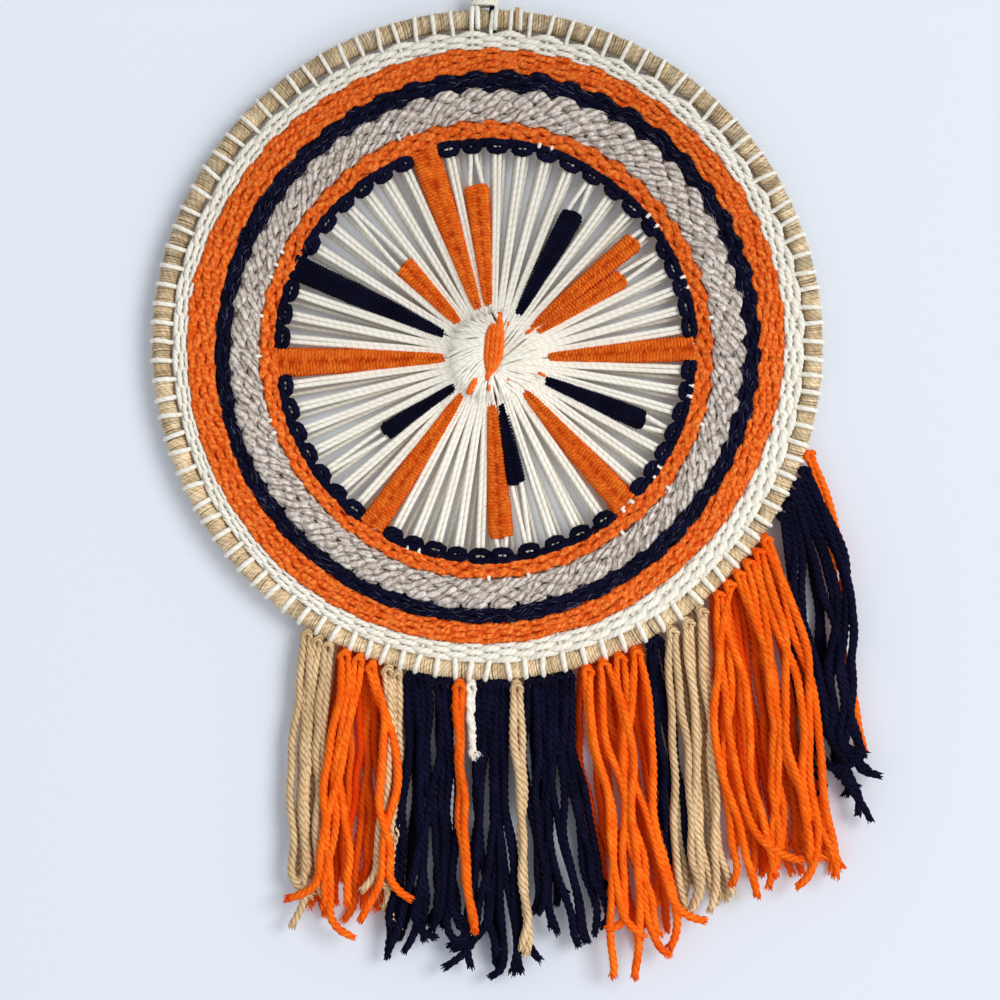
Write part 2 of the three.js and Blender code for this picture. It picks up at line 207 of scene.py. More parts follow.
def yarnMaterial(name, look):
    # The mesh attribute lay holds, for each point of a yarn, the cosine and sine of its place
    # round it and its distance along it in millimetres; twist is the turn of the plies there.
    # strand is the tone there, from 0, dull and deep in painted shade, to 1, pale.
    look = {**anyYarn, **look}
    material, tree = newMaterial(name)
    lay = addNode(tree, "ShaderNodeAttribute", attribute_name="lay").outputs["Vector"]
    strand = addNode(tree, "ShaderNodeAttribute", attribute_name="strand").outputs["Fac"]
    seam = plySeam(tree, look, lay)
    fibres = fibreNoise(tree, look, lay, strand)
    shader = addNode(tree, "ShaderNodeBsdfPrincipled",
                     {"Base Color": yarnColour(tree, look, strand, seam, fibres),
                      "Normal": yarnBump(tree, look, seam, fibres),
                      "Roughness": look["roughness"], "IOR": look["ior"],
                      "Specular IOR Level": look["specular"], "Sheen Weight": look["sheen"],
                      "Sheen Roughness": look["sheenRoughness"], "Sheen Tint": linear(look["light"])})
    addNode(tree, "ShaderNodeOutputMaterial", {"Surface": shader})
    return material


# Mercerised cotton string, two loosely twisted plies: off-white, smooth, with fine twist lines of painted
# shade in its grooves.
creamCotton = {
    "base": "#EEEADE", "light": "#F4F1E8", "patch": "#E2DCCC", "groove": "#B9B09C",
    "plies": 2, "seam": 0.7, "seamShade": 0.35, "fibres": 2.6, "fibreLength": 0.12, "fibreHeight": 0.5,
    "patches": 60, "patchAmount": 0.35, "uneven": 0.13, "bump": 0.5, "bumpDepth": 0.2,
    "roughness": 0.8, "sheen": 0.1,
}
# Bulky acrylic knitting yarn, four plies, brushed by handling: saturated, soft, with deep red painted shade
# in its grooves and on strands that hang behind others.
orangeAcrylic = {
    "base": "#F45806", "light": "#FF8A28", "patch": "#E24402", "groove": "#CE3A02",
    "plies": 4, "seam": 0.9, "seamShade": 0.6, "fibres": 3.2, "fibreLength": 0.14, "fibreHeight": 1.6,
    "patches": 120, "patchAmount": 0.5, "uneven": 0.16, "bump": 0.6, "bumpDepth": 0.26,
    "shade": "#EA3606", "shaded": 0.72,
    "roughness": 0.95, "sheen": 0.03, "specular": 0.06,
}
# The same yarn dyed navy: nearly black, with a violet grey painted highlight only on the fibres that stand
# up.
navyAcrylic = {
    "base": "#05081F", "light": "#1C1A36", "patch": "#03050F", "groove": "#020309",
    "plies": 4, "seam": 0.8, "seamShade": 0.7, "fibres": 3.6, "fibreLength": 0.2, "fibreHeight": 0.9,
    "patches": 90, "patchAmount": 0.5, "uneven": 0.15, "bump": 0.9, "bumpDepth": 0.45,
    "roughness": 0.95, "sheen": 0.0, "specular": 0.05,
}
# Wool marl of undyed fleece: pale greyish taupe, with brown painted shade in the grooves between its plies.
taupeWool = {
    "base": "#DCCDC0", "light": "#FFFAF4", "patch": "#7C6656", "groove": "#463224",
    "plies": 4, "seam": 0.8, "seamShade": 0.85, "fibres": 3.6, "fibreLength": 0.13, "fibreHeight": 1.6,
    "patches": 480, "patchAmount": 0.6, "patchEdge": 0.13, "uneven": 0.08, "bump": 1.0, "bumpDepth": 0.5,
    "roughness": 0.95, "sheen": 0.1,
}
# Plain cotton yarn dyed tan, four firm plies: a clear cord twist with brown painted shade in its grooves.
tanCotton = {
    "base": "#CCA87C", "light": "#EFD6AC", "patch": "#B48E62", "groove": "#6E4C2E",
    "plies": 4, "seam": 0.85, "seamShade": 0.8, "fibres": 3.0, "fibreLength": 0.14, "fibreHeight": 1.0,
    "patches": 70, "patchAmount": 0.4, "uneven": 0.2, "bump": 0.6, "bumpDepth": 0.25,
    "roughness": 0.88, "sheen": 0.08,
}
# Jute twine, two plies of coarse bast fibre: straw brown, hairy, with dark joins between wraps and painted
# shade in the grooves of its plies.
juteTwine = {
    "base": "#C9AE84", "light": "#F2E2C4", "patch": "#A88C66", "groove": "#74593A",
    "plies": 2, "seam": 0.7, "seamShade": 0.5, "fibres": 3.4, "fibreLength": 0.3, "fibreHeight": 0.9,
    "patches": 160, "patchAmount": 0.7, "uneven": 0.32, "bump": 0.7, "bumpDepth": 0.2,
    "roughness": 0.85, "sheen": 0.05,
}
cream = yarnMaterial("cream cotton string twisted", creamCotton)
creamWeft = yarnMaterial("cream cotton weft twisted", {**creamCotton, "plies": 3, "seamShade": 0.45})
orange = yarnMaterial("orange acrylic yarn twisted", orangeAcrylic)
# Woven tight, the orange yarn shows its pale fibres on top of each stitch, and red painted shade between
# stitches, in the grooves of its plies.
orangeWeft = yarnMaterial("orange acrylic yarn woven", {
    **orangeAcrylic, "base": "#FB6410", "light": "#FFA450", "patch": "#DC4200", "groove": "#CA3E00",
    "plies": 3, "seam": 0.95, "seamShade": 0.4, "fibres": 3.6, "fibreLength": 0.3, "patches": 560,
    "patchAmount": 0.8, "patchEdge": 0.1, "uneven": 0.15, "bump": 0.9, "bumpDepth": 0.35, "shaded": 0.0,
})
# Wound on a spoke it is stretched smooth, and is painted dark red where it dives between two passes, as
# painted shade.
orangeWrap = yarnMaterial("orange acrylic yarn wrapped", {
    **orangeAcrylic, "base": "#FF620A", "light": "#FF9A3A", "patch": "#E04402", "groove": "#C43600",
    "plies": 3, "seam": 0.9, "seamShade": 0.3, "fibreLength": 0.4, "patches": 300, "patchAmount": 0.6,
    "uneven": 0.04, "bump": 0.8, "bumpDepth": 0.35, "shade": "#B42800", "shaded": 0.95,
})
# Laid side by side over the centre it is loose and even.
orangeEye = yarnMaterial("orange acrylic yarn laid", {
    **orangeAcrylic, "base": "#F4600C", "light": "#FF9640", "seamShade": 0.45, "patches": 420, "bump": 0.6,
    "shaded": 0.0,
})
navy = yarnMaterial("navy acrylic yarn twisted", navyAcrylic)
# Loose navy fibres catch the light: they are painted greyer than the yarn, as painted highlight.
navyFuzz = yarnMaterial("navy acrylic fibre loose", {
    **navyAcrylic, "base": "#5C5E78", "light": "#8486A0", "patch": "#40425A",
})
taupe = yarnMaterial("taupe wool marl twisted", taupeWool)
tan = yarnMaterial("tan cotton yarn twisted", tanCotton)
jute = yarnMaterial("jute twine wrapped", juteTwine)
# Deep in the gathered centre the same cotton is painted a little darker and yellower, as painted shade
# between the threads over it.
shadedCotton = yarnMaterial("cream cotton string gathered in painted shade", {
    **creamCotton, "base": "#E6DCC6", "light": "#EFE7D6", "patch": "#D8CCB2",
})


print("stage: yarn tools")


def placeMesh(mesh, flat=1.0):
    # millimetres round the hoop's middle to metres in the CAD frame; flat presses the yarn in depth
    where = np.empty(len(mesh.vertices) * 3, np.float32)
    mesh.vertices.foreach_get("co", where)
    where = where.reshape(-1, 3)
    where[:, 1] *= flat
    where = where * mm + np.array(hoopCentre, np.float32)
    mesh.vertices.foreach_set("co", where.ravel())
    mesh.update()


def meshFrom(shape, name):
    # the finished mesh of a bmesh made in millimetres
    mesh = bpy.data.meshes.new(name)
    shape.to_mesh(mesh)
    shape.free()
    placeMesh(mesh)
    return mesh


def keepPiece(name, mesh, material, nodes=()):
    mesh.materials.clear()
    mesh.materials.append(material)
    piece = addObject(name, mesh)
    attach(piece, "root")
    if nodes:
        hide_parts(*nodes)
    print("  ", name, sum(len(p.vertices) - 2 for p in mesh.polygons), "triangles")
    return piece


def yarnLine(points, radius, closed=False, tone=None):
    # one strand of a piece; radius and tone are one number, or one for each point
    count = len(points)
    tones = None if tone is None else np.full(count, tone, float)
    return {"points": points, "radii": np.full(count, radius, float), "closed": closed, "tones": tones}


def plySection(plies, perPly, groove):
    # outline of a twisted yarn of radius 1, a lobe for each ply, seen end on
    count = plies * perPly
    section = bpy.data.curves.new("plySection", "CURVE")
    section.dimensions = "2D"
    outline = section.splines.new("POLY")
    outline.points.add(count - 1)
    outline.use_cyclic_u = True
    for k, point in enumerate(outline.points):
        angle = 2 * math.pi * k / count
        reach = 1 - groove * (1 - abs(math.sin(plies * angle / 2)))
        point.co = (reach * math.cos(angle), reach * math.sin(angle), 0, 1)
    return bpy.data.objects.new("plySection", section)


def addStrand(curve, strand, twisted, lead, flat, rng):
    # adds a spline; returns its tones, the distance along it and the turn of its plies at each point
    points, count = strand["points"], len(strand["points"])
    shaped = points.copy()
    shaped[:, 1] /= flat
    spline = curve.splines.new("POLY")
    spline.points.add(count - 1)
    spline.points.foreach_set("co", np.c_[shaped, np.ones(count)].astype(np.float32).ravel())
    spline.points.foreach_set("radius", strand["radii"].astype(np.float32))
    along = np.r_[0, np.cumsum(np.linalg.norm(np.diff(points, axis=0), axis=1))]
    turns = along / lead
    if strand["closed"]:
        whole = along[-1] + np.linalg.norm(points[0] - points[-1])
        turns = along / whole * max(1, round(whole / lead))
        spline.use_cyclic_u = True
    tilt = -2 * math.pi * (turns + rng.random())
    if twisted:
        spline.points.foreach_set("tilt", tilt.astype(np.float32))
    tones = np.full(count, rng.random()) if strand["tones"] is None else strand["tones"]
    return tones, along, tilt


def closeEnds(mesh):
    shape = bmesh.new()
    shape.from_mesh(mesh)
    rims = [edge for edge in shape.edges if edge.is_boundary]
    if rims:
        bmesh.ops.holes_fill(shape, edges=rims, sides=0)
    for face in shape.faces:
        face.smooth = True
    shape.to_mesh(mesh)
    shape.free()


def keepAttribute(mesh, name, values):
    # values holds a number or a vector for each point of the mesh
    kind, key = ("FLOAT_VECTOR", "vector") if values.ndim > 1 else ("FLOAT", "value")
    kept = mesh.attributes.new(name, kind, "POINT")
    kept.data.foreach_set(key, values.astype(np.float32).ravel())


def spinYarn(name, strands, plies=4, perPly=3, groove=0.25, lead=12, flat=1.0, seed=1):
    # strands come from yarnLine; the plies turn once for each lead, in mm, and perPly is the
    # corners of a section for each ply; flat is the yarn's depth against its height
    rng = np.random.default_rng(seed)
    section = plySection(plies, perPly, groove)
    sides = plies * perPly
    curve = bpy.data.curves.new(name, "CURVE")
    curve.dimensions = "3D"
    curve.bevel_mode = "OBJECT"
    curve.bevel_object = section
    curve.twist_mode = "MINIMUM"
    laid = [addStrand(curve, strand, groove > 0, lead, flat, rng) for strand in strands]
    tone, along, tilt = [np.concatenate(values) for values in zip(*laid)]
    shape = addObject(name, curve)
    ready = bpy.context.evaluated_depsgraph_get()
    mesh = bpy.data.meshes.new_from_object(shape.evaluated_get(ready), depsgraph=ready)
    bpy.data.objects.remove(shape)
    bpy.data.objects.remove(section)
    mesh.name = name
    closeEnds(mesh)
    rings = len(along)
    if len(mesh.vertices) != rings * sides:
        raise ValueError(f"{name}: {len(mesh.vertices)} points for {rings} rings of {sides}")
    places = np.tile(2 * math.pi * np.arange(sides) / sides + math.pi / plies, (rings, 1))
    if plies == 1:
        places = 0 * places  # loose fibre has no plies to show
    lay = np.stack([np.cos(places), np.sin(places), np.tile(along[:, None], (1, sides))], axis=2)
    shown = tilt if groove == 0 and plies > 1 else 0 * tilt  # a round yarn's twist is only in its pattern
    keepAttribute(mesh, "lay", lay)
    keepAttribute(mesh, "twist", np.repeat(shown, sides))
    keepAttribute(mesh, "strand", np.repeat(tone, sides))
    placeMesh(mesh, flat)
    return mesh


def yarnPiece(name, strands, material, slot, nodes=(), **spun):
    return keepPiece(name, spinYarn(name, strands, **spun), material, nodes)


def outward(angle):
    # right and up
    return np.array([math.cos(angle), math.sin(angle)])


def polar(radius, angle, depth):
    radius, angle, depth = np.broadcast_arrays(radius, angle, depth)
    return np.stack([radius * np.cos(angle), depth, radius * np.sin(angle)], axis=-1)


def drift(count, reach, rng, knots):
    # slow, smooth wandering, from random values at evenly spread knots
    values = rng.normal(0, 1, knots + 2)
    return reach * np.interp(np.linspace(0, knots, count), np.arange(knots + 2), values)


def smoothLine(points, spacing):
    # a smooth line through given points, cut into even steps
    points = np.asarray(points, float)
    ends = np.vstack([2 * points[0] - points[1], points, 2 * points[-1] - points[-2]])
    t = np.linspace(0, 1, 24, endpoint=False)[:, None]
    parts = []
    for a, b, c, d in zip(ends, ends[1:], ends[2:], ends[3:]):
        parts.append(0.5 * (2 * b + (c - a) * t + (2 * a - 5 * b + 4 * c - d) * t ** 2
                            + (3 * b - a - 3 * c + d) * t ** 3))
    fine = np.vstack(parts + [points[-1:]])
    along = np.r_[0, np.cumsum(np.linalg.norm(np.diff(fine, axis=0), axis=1))]
    steps = np.linspace(0, along[-1], max(3, round(along[-1] / spacing) + 1))
    return np.stack([np.interp(steps, along, fine[:, k]) for k in range(3)], axis=1)


print("stage: hanging loop")
loopCord = {"radius": 1.5, "lead": 7}
# Right of and above the top of the hoop.
loopRoute = [
    (-3.2, 7.4), (-4, 12), (-4.4, 18), (-4.6, 24), (-4.2, 30), (-2.6, 33.4), (0, 34.5),
    (2.6, 33.4), (4.2, 30), (4.6, 24), (4.4, 18), (4, 12), (3.2, 7.4),
]
loopLine = smoothLine([(x, 0, hoop["rim"] + up) for x, up in loopRoute], 1.0)
hangingLoop = yarnPiece("hanging_cord", [yarnLine(loopLine, loopCord["radius"])], creamWeft,
                        "cream_cotton", ["hanging_loop"], plies=3, perPly=4, groove=0.16,
                        lead=loopCord["lead"], seed=3)


print("stage: weaving")
ringWander = {"reach": 0.18, "waves": 5, "fineWaves": 11, "offset": 2.3}


def edgeOf(*nodes, grow=0.0, right=0.0, up=0.0, oval=0.0, lean=0.0, phase=0.0):
    # outer radius of a ring of CAD pieces, and how far it sits right of and above the hoop's middle;
    # grow, right, up and an oval drawn out along lean, in degrees, pull the woven edge off that circle
    corners = [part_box(node) for node in nodes]
    low = np.min([np.array(c[0]) for c in corners], axis=0)
    high = np.max([np.array(c[1]) for c in corners], axis=0)
    middle = ((low + high) / 2 - np.array(hoopCentre)) / mm
    return {"radius": (high[0] - low[0]) / 2 / mm + grow, "right": middle[0] + right, "up": middle[2] + up,
            "oval": oval, "lean": math.radians(lean), "phase": phase}


def reachAt(edge, angle):
    wander = ringWander["reach"] * (np.sin(ringWander["waves"] * angle + edge["phase"])
                                    + np.sin(ringWander["fineWaves"] * angle
                                             + ringWander["offset"] * edge["phase"]))
    pulled = edge["right"] * np.cos(angle) + edge["up"] * np.sin(angle)
    return edge["radius"] + pulled + edge["oval"] * np.cos(2 * (angle - edge["lean"])) + wander


chainNodes = [f"chain_{k}" for k in range(1, 7)]
edges = {
    "creamOuter": edgeOf("band_cream", right=0.4, up=-0.9),
    "orangeOuter": edgeOf("band_orange_outer", grow=-0.7, right=-0.9, up=-0.4, oval=0.9, lean=35,
                          phase=0.6),
    "navyOuter": edgeOf("band_navy", grow=-0.6, right=0.3, up=-0.5, oval=1.4, lean=62, phase=1.9),
    "taupeOuter": edgeOf("band_taupe", grow=-0.6, right=0.5, up=-0.6, oval=1.5, lean=55, phase=3.1),
    "innerOrange": edgeOf("band_orange_inner", grow=-0.4, right=0.9, up=-1.5, oval=0.4, lean=90, phase=4.4),
    "chainOuter": edgeOf(*chainNodes, grow=-0.8, right=0.9, up=-0.4, oval=0.6, lean=75),
    "chainInner": edgeOf("front_warp", right=0.5),
}

# The yarn of a spoke stands out past the CAD piece: by tip at its tip, and at its far end by end or, for
# some pairs, by a value of their own.
spokeSwell = {
    "tip": 1.3,
    "end": 2.4,
    "own": {0: 1.6, 5: 2.3, 6: 2.0, 14: 3.6, 20: 2.2, 23: 0.6, 27: 2.6, 35: 1.2, 41: 2.8, 42: 3.6, 46: 1.6},
    "fast": 0.6,          # the lower, the sooner a spoke reaches its full width
    "measured": 0.5,      # its CAD piece's widths are read this close to its ends
    "full": 6,            # a spoke that ends this close to the chain runs out to the weaving
}
# Pairs of warp threads don't all point at the hub. For the spokes: mm anticlockwise of a straight line from
# the hub, at the tip and at the far end. The pairs between them follow.
spokeStray = {
    0: (-1.7, -0.3), 5: (-1.6, -2.4), 6: (-1.3, -1.4), 9: (-0.9, -2.4), 14: (0, -0.4), 16: (-0.5, 0),
    20: (0.7, 0), 23: (0, 0.4), 27: (0, 0.4), 32: (1.7, 1.2), 35: (-2.0, -0.3), 41: (-2.1, -1.6),
    42: (-0.4, -0.6), 46: (0.1, -0.4), 50: (-0.8, -0.6),
}


def readSpoke(name):
    # where a needle-woven spoke lies, from its CAD piece: its line from the hub, ends and widths
    corners = np.array([v.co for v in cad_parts[name].data.vertices])
    flat = (corners - np.array(hoopCentre))[:, [0, 2]] / mm - hub
    direction = flat.mean(axis=0) / np.linalg.norm(flat.mean(axis=0))
    along = flat @ direction
    aside = flat @ np.array([-direction[1], direction[0]])
    near, far = along.min(), along.max()
    ring = edges["chainOuter"]["radius"]
    back = hub @ direction
    reach = -back + math.sqrt(back ** 2 + ring ** 2 - hub @ hub)
    x, z = hub + reach * direction
    return {
        "node": name, "yarn": name.split("_")[1], "pair": int(name.split("_")[-1]),
        "direction": direction, "angle": math.atan2(z, x), "from": near, "to": far,
        "tip": np.ptp(aside[along < near + spokeSwell["measured"]]),
        "end": np.ptp(aside[along > far - spokeSwell["measured"]]),
        "full": far > reach - spokeSwell["full"],
    }


spokes = sorted([readSpoke(name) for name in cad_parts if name.startswith("spoke_")],
                key=lambda spoke: spoke["pair"])
spokePairs = np.array([spoke["pair"] for spoke in spokes])
spokeAngles = np.unwrap([spoke["angle"] for spoke in spokes])
anchorPairs = np.r_[spokePairs - pairCount, spokePairs, spokePairs + pairCount]
anchorAngles = np.r_[spokeAngles - 2 * math.pi, spokeAngles, spokeAngles + 2 * math.pi]


def spokeAt(pair):
    return next((spoke for spoke in spokes if spoke["pair"] == pair), None)


def spokeWidth(spoke, far):
    # a spoke widens fast from its blunt tip and then slowly
    share = np.clip((far - spoke["from"]) / (spoke["to"] - spoke["from"]), 0, 1) ** spokeSwell["fast"]
    tip = spoke["tip"] + spokeSwell["tip"]
    end = spoke["end"] + spokeSwell["own"].get(spoke["pair"], spokeSwell["end"])
    return tip + (end - tip) * share


def pairAngle(pair):
    return np.interp(pair, anchorPairs, anchorAngles)


def strayAt(pair, share):
    # how far aside of its straight line a pair lies, from the hub (0) to the ring (1)
    tips = [spokeStray[pair][0] for pair in spokePairs] * 3
    ends = [spokeStray[pair][1] for pair in spokePairs] * 3
    return np.interp(pair, anchorPairs, tips) * (1 - share) + np.interp(pair, anchorPairs, ends) * share


def threadAngle(thread):
    # warp threads are spread evenly in the weaving, two for each pair
    return pairAngle((np.asarray(thread, float) - 0.5) / 2)


# Bands of weft from the outside in. rows are the shares of the band's width that its rows take. fat is
# half the height of a row where it passes over a warp thread and thin where it dives, both against its
# share. wave is how far the band's outer edge swings out where its first row goes over. loose and skew
# are how uneven the rows and their slant are, dwell how long a row stays on the front, and duller how
# much darker the yarn is painted on the right, as painted shade. steps is the sections of a row for each
# warp thread.
usualBand = {"skew": 0, "paintedShadeRight": 0, "dwell": 0.3, "steps": 6, "plies": 3, "perPly": 2}
bands = [
    {**usualBand, "name": "cream", "material": creamWeft, "slot": "cream_cotton", "outer": "creamOuter",
     "rows": [1.4, 1.1, 1.0, 1.0, 0.95], "fat": 1.02, "thin": 0.55, "wave": 0.3, "loose": 0.15,
     "dwell": 0.2, "steps": 8, "groove": 0.2, "lead": 8},
    {**usualBand, "name": "orange_outer", "material": orangeWeft, "slot": "orange_yarn",
     "outer": "orangeOuter", "rows": [1.0] * 7, "fat": 1.18, "thin": 0.92, "wave": 0.12, "loose": 0.2,
     "skew": 0.25, "groove": 0.1, "lead": 7},
    {**usualBand, "name": "navy", "material": navy, "slot": "navy_yarn", "outer": "navyOuter",
     "rows": [1.1, 1.0, 1.0, 1.0], "fat": 1.2, "thin": 0.85, "wave": 0.25, "loose": 0.14,
     "dwell": 0.2, "groove": 0.14, "lead": 10},
    {**usualBand, "name": "taupe", "material": taupe, "slot": "taupe_yarn", "outer": "taupeOuter",
     "rows": [1.35, 1.15, 1.0, 1.0, 0.9], "fat": 1.06, "thin": 0.42, "wave": 0.25, "loose": 0.22,
     "skew": 0.16, "dwell": 0.4, "plies": 4, "groove": 0.08, "lead": 14},
    {**usualBand, "name": "orange_inner", "material": orangeWeft, "slot": "orange_yarn",
     "outer": "innerOrange", "rows": [1.0] * 4, "fat": 1.1, "thin": 0.64, "wave": 0.06, "loose": 0.2,
     "skew": 0.25, "paintedShadeRight": 0.35, "groove": 0.1, "lead": 9},
]
weft = {
    "depth": 1.25,        # how far a yarn swings to the front and to the back
    "flat": 0.75,         # its depth against its height
    "full": 0.6,          # the lower, the sooner it swells where it comes up
    "deeper": 0.1,        # unevenness of its swing, its size and its tone
    "thicker": 0.05,
    "paler": 0.1,
}
# The edges swing more on one side of the hoop, where the weaving was beaten down less. Elsewhere the two
# rows nearest an edge even out: where they pass over, they move out by these shares of a row.
swingMost = {"angle": 1.0, "least": 0.3, "most": 2.4}
evened = {"shares": {0: -0.25, 1: 0.35, 3: 0.15}, "slim": 0.74, "eased": 0.7}
# painted shade round the hoop: the yarn's tone low down, at the sides and at the top
tones = {"low": 0.66, "side": 0.5, "top": 0.0}
rowsBefore = 0
for band in bands:
    band["parity"] = rowsBefore % 2
    rowsBefore += len(band["rows"])
inside = {"outer": "chainOuter", "wave": 0.1, "parity": rowsBefore % 2}


def perThread(steps, rng):
    # unevenness with one random value for each warp thread
    values = rng.normal(0, 1, threadCount)
    places = np.arange(threadCount * steps) / steps
    return np.interp(places, np.arange(threadCount + 1), np.r_[values, values[0]])


def paintedShadeTone(angle):
    # painted shade: yarn is painted a little darker at the top of the hoop, where it hangs in shade, and
    # paler low down
    return np.interp(np.sin(angle), (-1, 0, 1), (tones["low"], tones["side"], tones["top"]))


def weftRow(band, beyond, row, rng):
    # one row of a band, over and under every other warp thread
    sizes = np.array(band["rows"]) / sum(band["rows"])
    share = sizes[:row].sum() + sizes[row] / 2
    last = len(band["rows"]) - 1 - row
    thread = np.arange(threadCount * band["steps"]) / band["steps"]
    angle = threadAngle(thread)
    outer = reachAt(edges[band["outer"]], angle)
    width = outer - reachAt(edges[beyond["outer"]], angle)
    phase = math.pi * (thread + band["parity"] + row)
    over = np.cos(phase)
    raised = over + band["dwell"] * (1 - over ** 2)
    # the swing of the band's two edges, and what evens out the rows beside them
    swing = (1 - share) * band["wave"] * np.cos(math.pi * (thread + band["parity"]))
    swing = swing + share * beyond["wave"] * np.cos(math.pi * (thread + beyond["parity"]))
    slack = (0.5 + 0.5 * np.cos(angle - swingMost["angle"])) ** 2
    swing = swing * (swingMost["least"] + (swingMost["most"] - swingMost["least"]) * slack)
    moved = evened["shares"].get(row, 0) - evened["shares"].get(last, 0)
    swing = swing + moved * sizes[row] * width * over * (1 - evened["eased"] * slack)
    uneven = perThread(band["steps"], rng)
    skew = band["skew"] * perThread(band["steps"], rng)
    swing = swing + skew * sizes[row] * width * np.sin(phase)
    radius = outer - share * width + swing + band["loose"] * uneven
    # the yarn itself
    fat = band["fat"] * (evened["slim"] if row == 0 or last == 0 else 1)
    swell = band["thin"] + (fat - band["thin"]) * (0.5 + 0.5 * np.clip(raised, -1, 1)) ** weft["full"]
    depth = clothMiddle - weft["depth"] * raised * (1 + weft["deeper"] * uneven)
    size = sizes[row] * width * swell * (1 + weft["thicker"] * uneven)
    # painted shade: darker at the top of the hoop and, for the inner orange band, on the right
    tone = paintedShadeTone(angle) - band["paintedShadeRight"] * (0.5 + 0.5 * np.cos(angle))
    tone = tone + rng.uniform(-weft["paler"], weft["paler"])
    return yarnLine(polar(radius, angle, depth), size, closed=True, tone=np.clip(tone, 0, 1))


weftPieces, weftRows = [], {}
for index, (band, beyond) in enumerate(zip(bands, bands[1:] + [inside])):
    rng = np.random.default_rng(100 + index)
    rows = [weftRow(band, beyond, row, rng) for row in range(len(band["rows"]))]
    weftRows[band["name"]] = rows
    weftPieces.append(yarnPiece(f"weft_{band['name']}", rows, band["material"], band["slot"],
                                [f"band_{band['name']}"], plies=band["plies"], perPly=band["perPly"],
                                groove=band["groove"], lead=band["lead"], flat=weft["flat"],
                                seed=20 + index))


print("stage: warp")
warp = {
    "radius": 1.02,
    "lead": 7,
    "front": -3.0,        # depth of the open pairs
    "chainDepth": -4.1,   # where the chain lifts them, each a little less or more
    "lifted": (-0.2, 1.1),
    "liftAt": 0.85,       # share of the way from hub to ring where that starts
    "sag": 0.12,
    "hubReach": 19,       # where the pairs meet the gathered centre
    "atHub": 0.62,        # half the spacing in a pair, at the hub and at the ring, and its unevenness
    "atRing": 1.12,
    "spread": 0.06,
    "pastSpoke": 0.85,    # half the spacing between the end of a short spoke and the ring
    "nearSpoke": 3,       # the pair takes a spoke's width from this far before its tip
    "pastRing": 4,        # how far outside the chain's inner edge the open part ends
    "ticks": 0.13,        # share of the threads that show at the inner orange band's outer edge
    "peeps": 0.15,        # share of the pairs that show at its inner edge, most of them on the right
    "steps": (0.05, 0.25, 0.42, 0.6, 0.78, 0.9, 1.0),
}
# Inside the weaving: how far behind the weft's middle a thread lies, and its radius there.
woven = {"hidden": (0.85, 0.5), "tick": (-2.9, 0.85), "peep": (-2.5, 0.9), "bare": (0, 0.95), "sway": 0.1}
rosette = {
    "depth": -8.6,        # beside the eye, and at the edge of the gathered centre
    "edgeDepth": -6.7,
    "arch": 0.9,
    "lifts": (-0.45, 0.55),  # how far every other pair lies back or forward, and its unevenness
    "liftSpread": 0.3,
    "startSpread": 0.4,   # unevenness of a thread's start, of its reach and of its bend
    "edgeSpread": 0.7,
    "bend": 0.6,
    "turned": 0.05,       # the two threads of a pair start this far apart round the eye
    "thin": 0.48,         # radius beside the eye, and how much it grows
    "grows": 0.42,
    "tucked": {"depth": -5.2, "lift": 0.6, "radius": 0.92},  # where a thread leaves the centre
    "steps": (0.0, 0.18, 0.38, 0.58, 0.76, 0.9),
}
# Over the hoop, in degrees round its tube. The loops are pulled into the jute on the outside.
overHoop = {
    "radius": 1.1, "from": -142, "turn": 284, "steps": 11, "ride": 0.75, "pressed": 0.6, "flatter": 0.12,
    "slimmer": 0.12, "lean": 0.006, "shift": 0.005,
}
backLayer = {
    "radius": 0.95, "depth": 2.9, "layers": (-0.4, 0.5), "inset": 1.5, "hubReach": 8, "gathered": 1.4,
    "steps": (0.04, 0.3, 0.6, 0.85, 1.0),
}
# Where the threads of the rosette come out beside the orange eye: the way a thread leaves the hub, in
# degrees, and its start right of and above the hoop's middle. Those on the right fan from the eye's foot.
eyeStarts = [
    (-90, 1.6, -12.8), (-60, 3.4, -12.2), (-30, 4.4, -11.2), (0, 5.0, -10.2), (28, 5.6, -9.0),
    (50, 6.2, -2.5), (70, 6.4, 4.6), (90, 5.0, 8.6), (120, 1.6, 7.6), (150, -0.4, 4.2), (180, -1.1, 0.0),
    (210, -1.2, -4.2), (240, -0.6, -9.0), (270, 1.6, -12.8),
]


def eyeStart(angle):
    ways = [start[0] for start in eyeStarts]
    way = (math.degrees(angle) + 90) % 360 - 90
    return np.array([np.interp(way, ways, [start[k] for start in eyeStarts]) for k in (1, 2)])


def threadCourse(thread):
    # the straight line of a thread's pair from the hub to the ring, and the thread's angle in the weaving
    pair = thread // 2
    angle = float(pairAngle(pair))
    target = (float(reachAt(edges["chainInner"], angle)) + warp["pastRing"]) * outward(angle)
    length = np.linalg.norm(target - hub)
    direction = (target - hub) / length
    return {
        "thread": thread, "pair": pair, "side": 1 if thread % 2 else -1, "length": length,
        "direction": direction, "aside": np.array([-direction[1], direction[0]]),
        "own": float(threadAngle(thread)),
    }


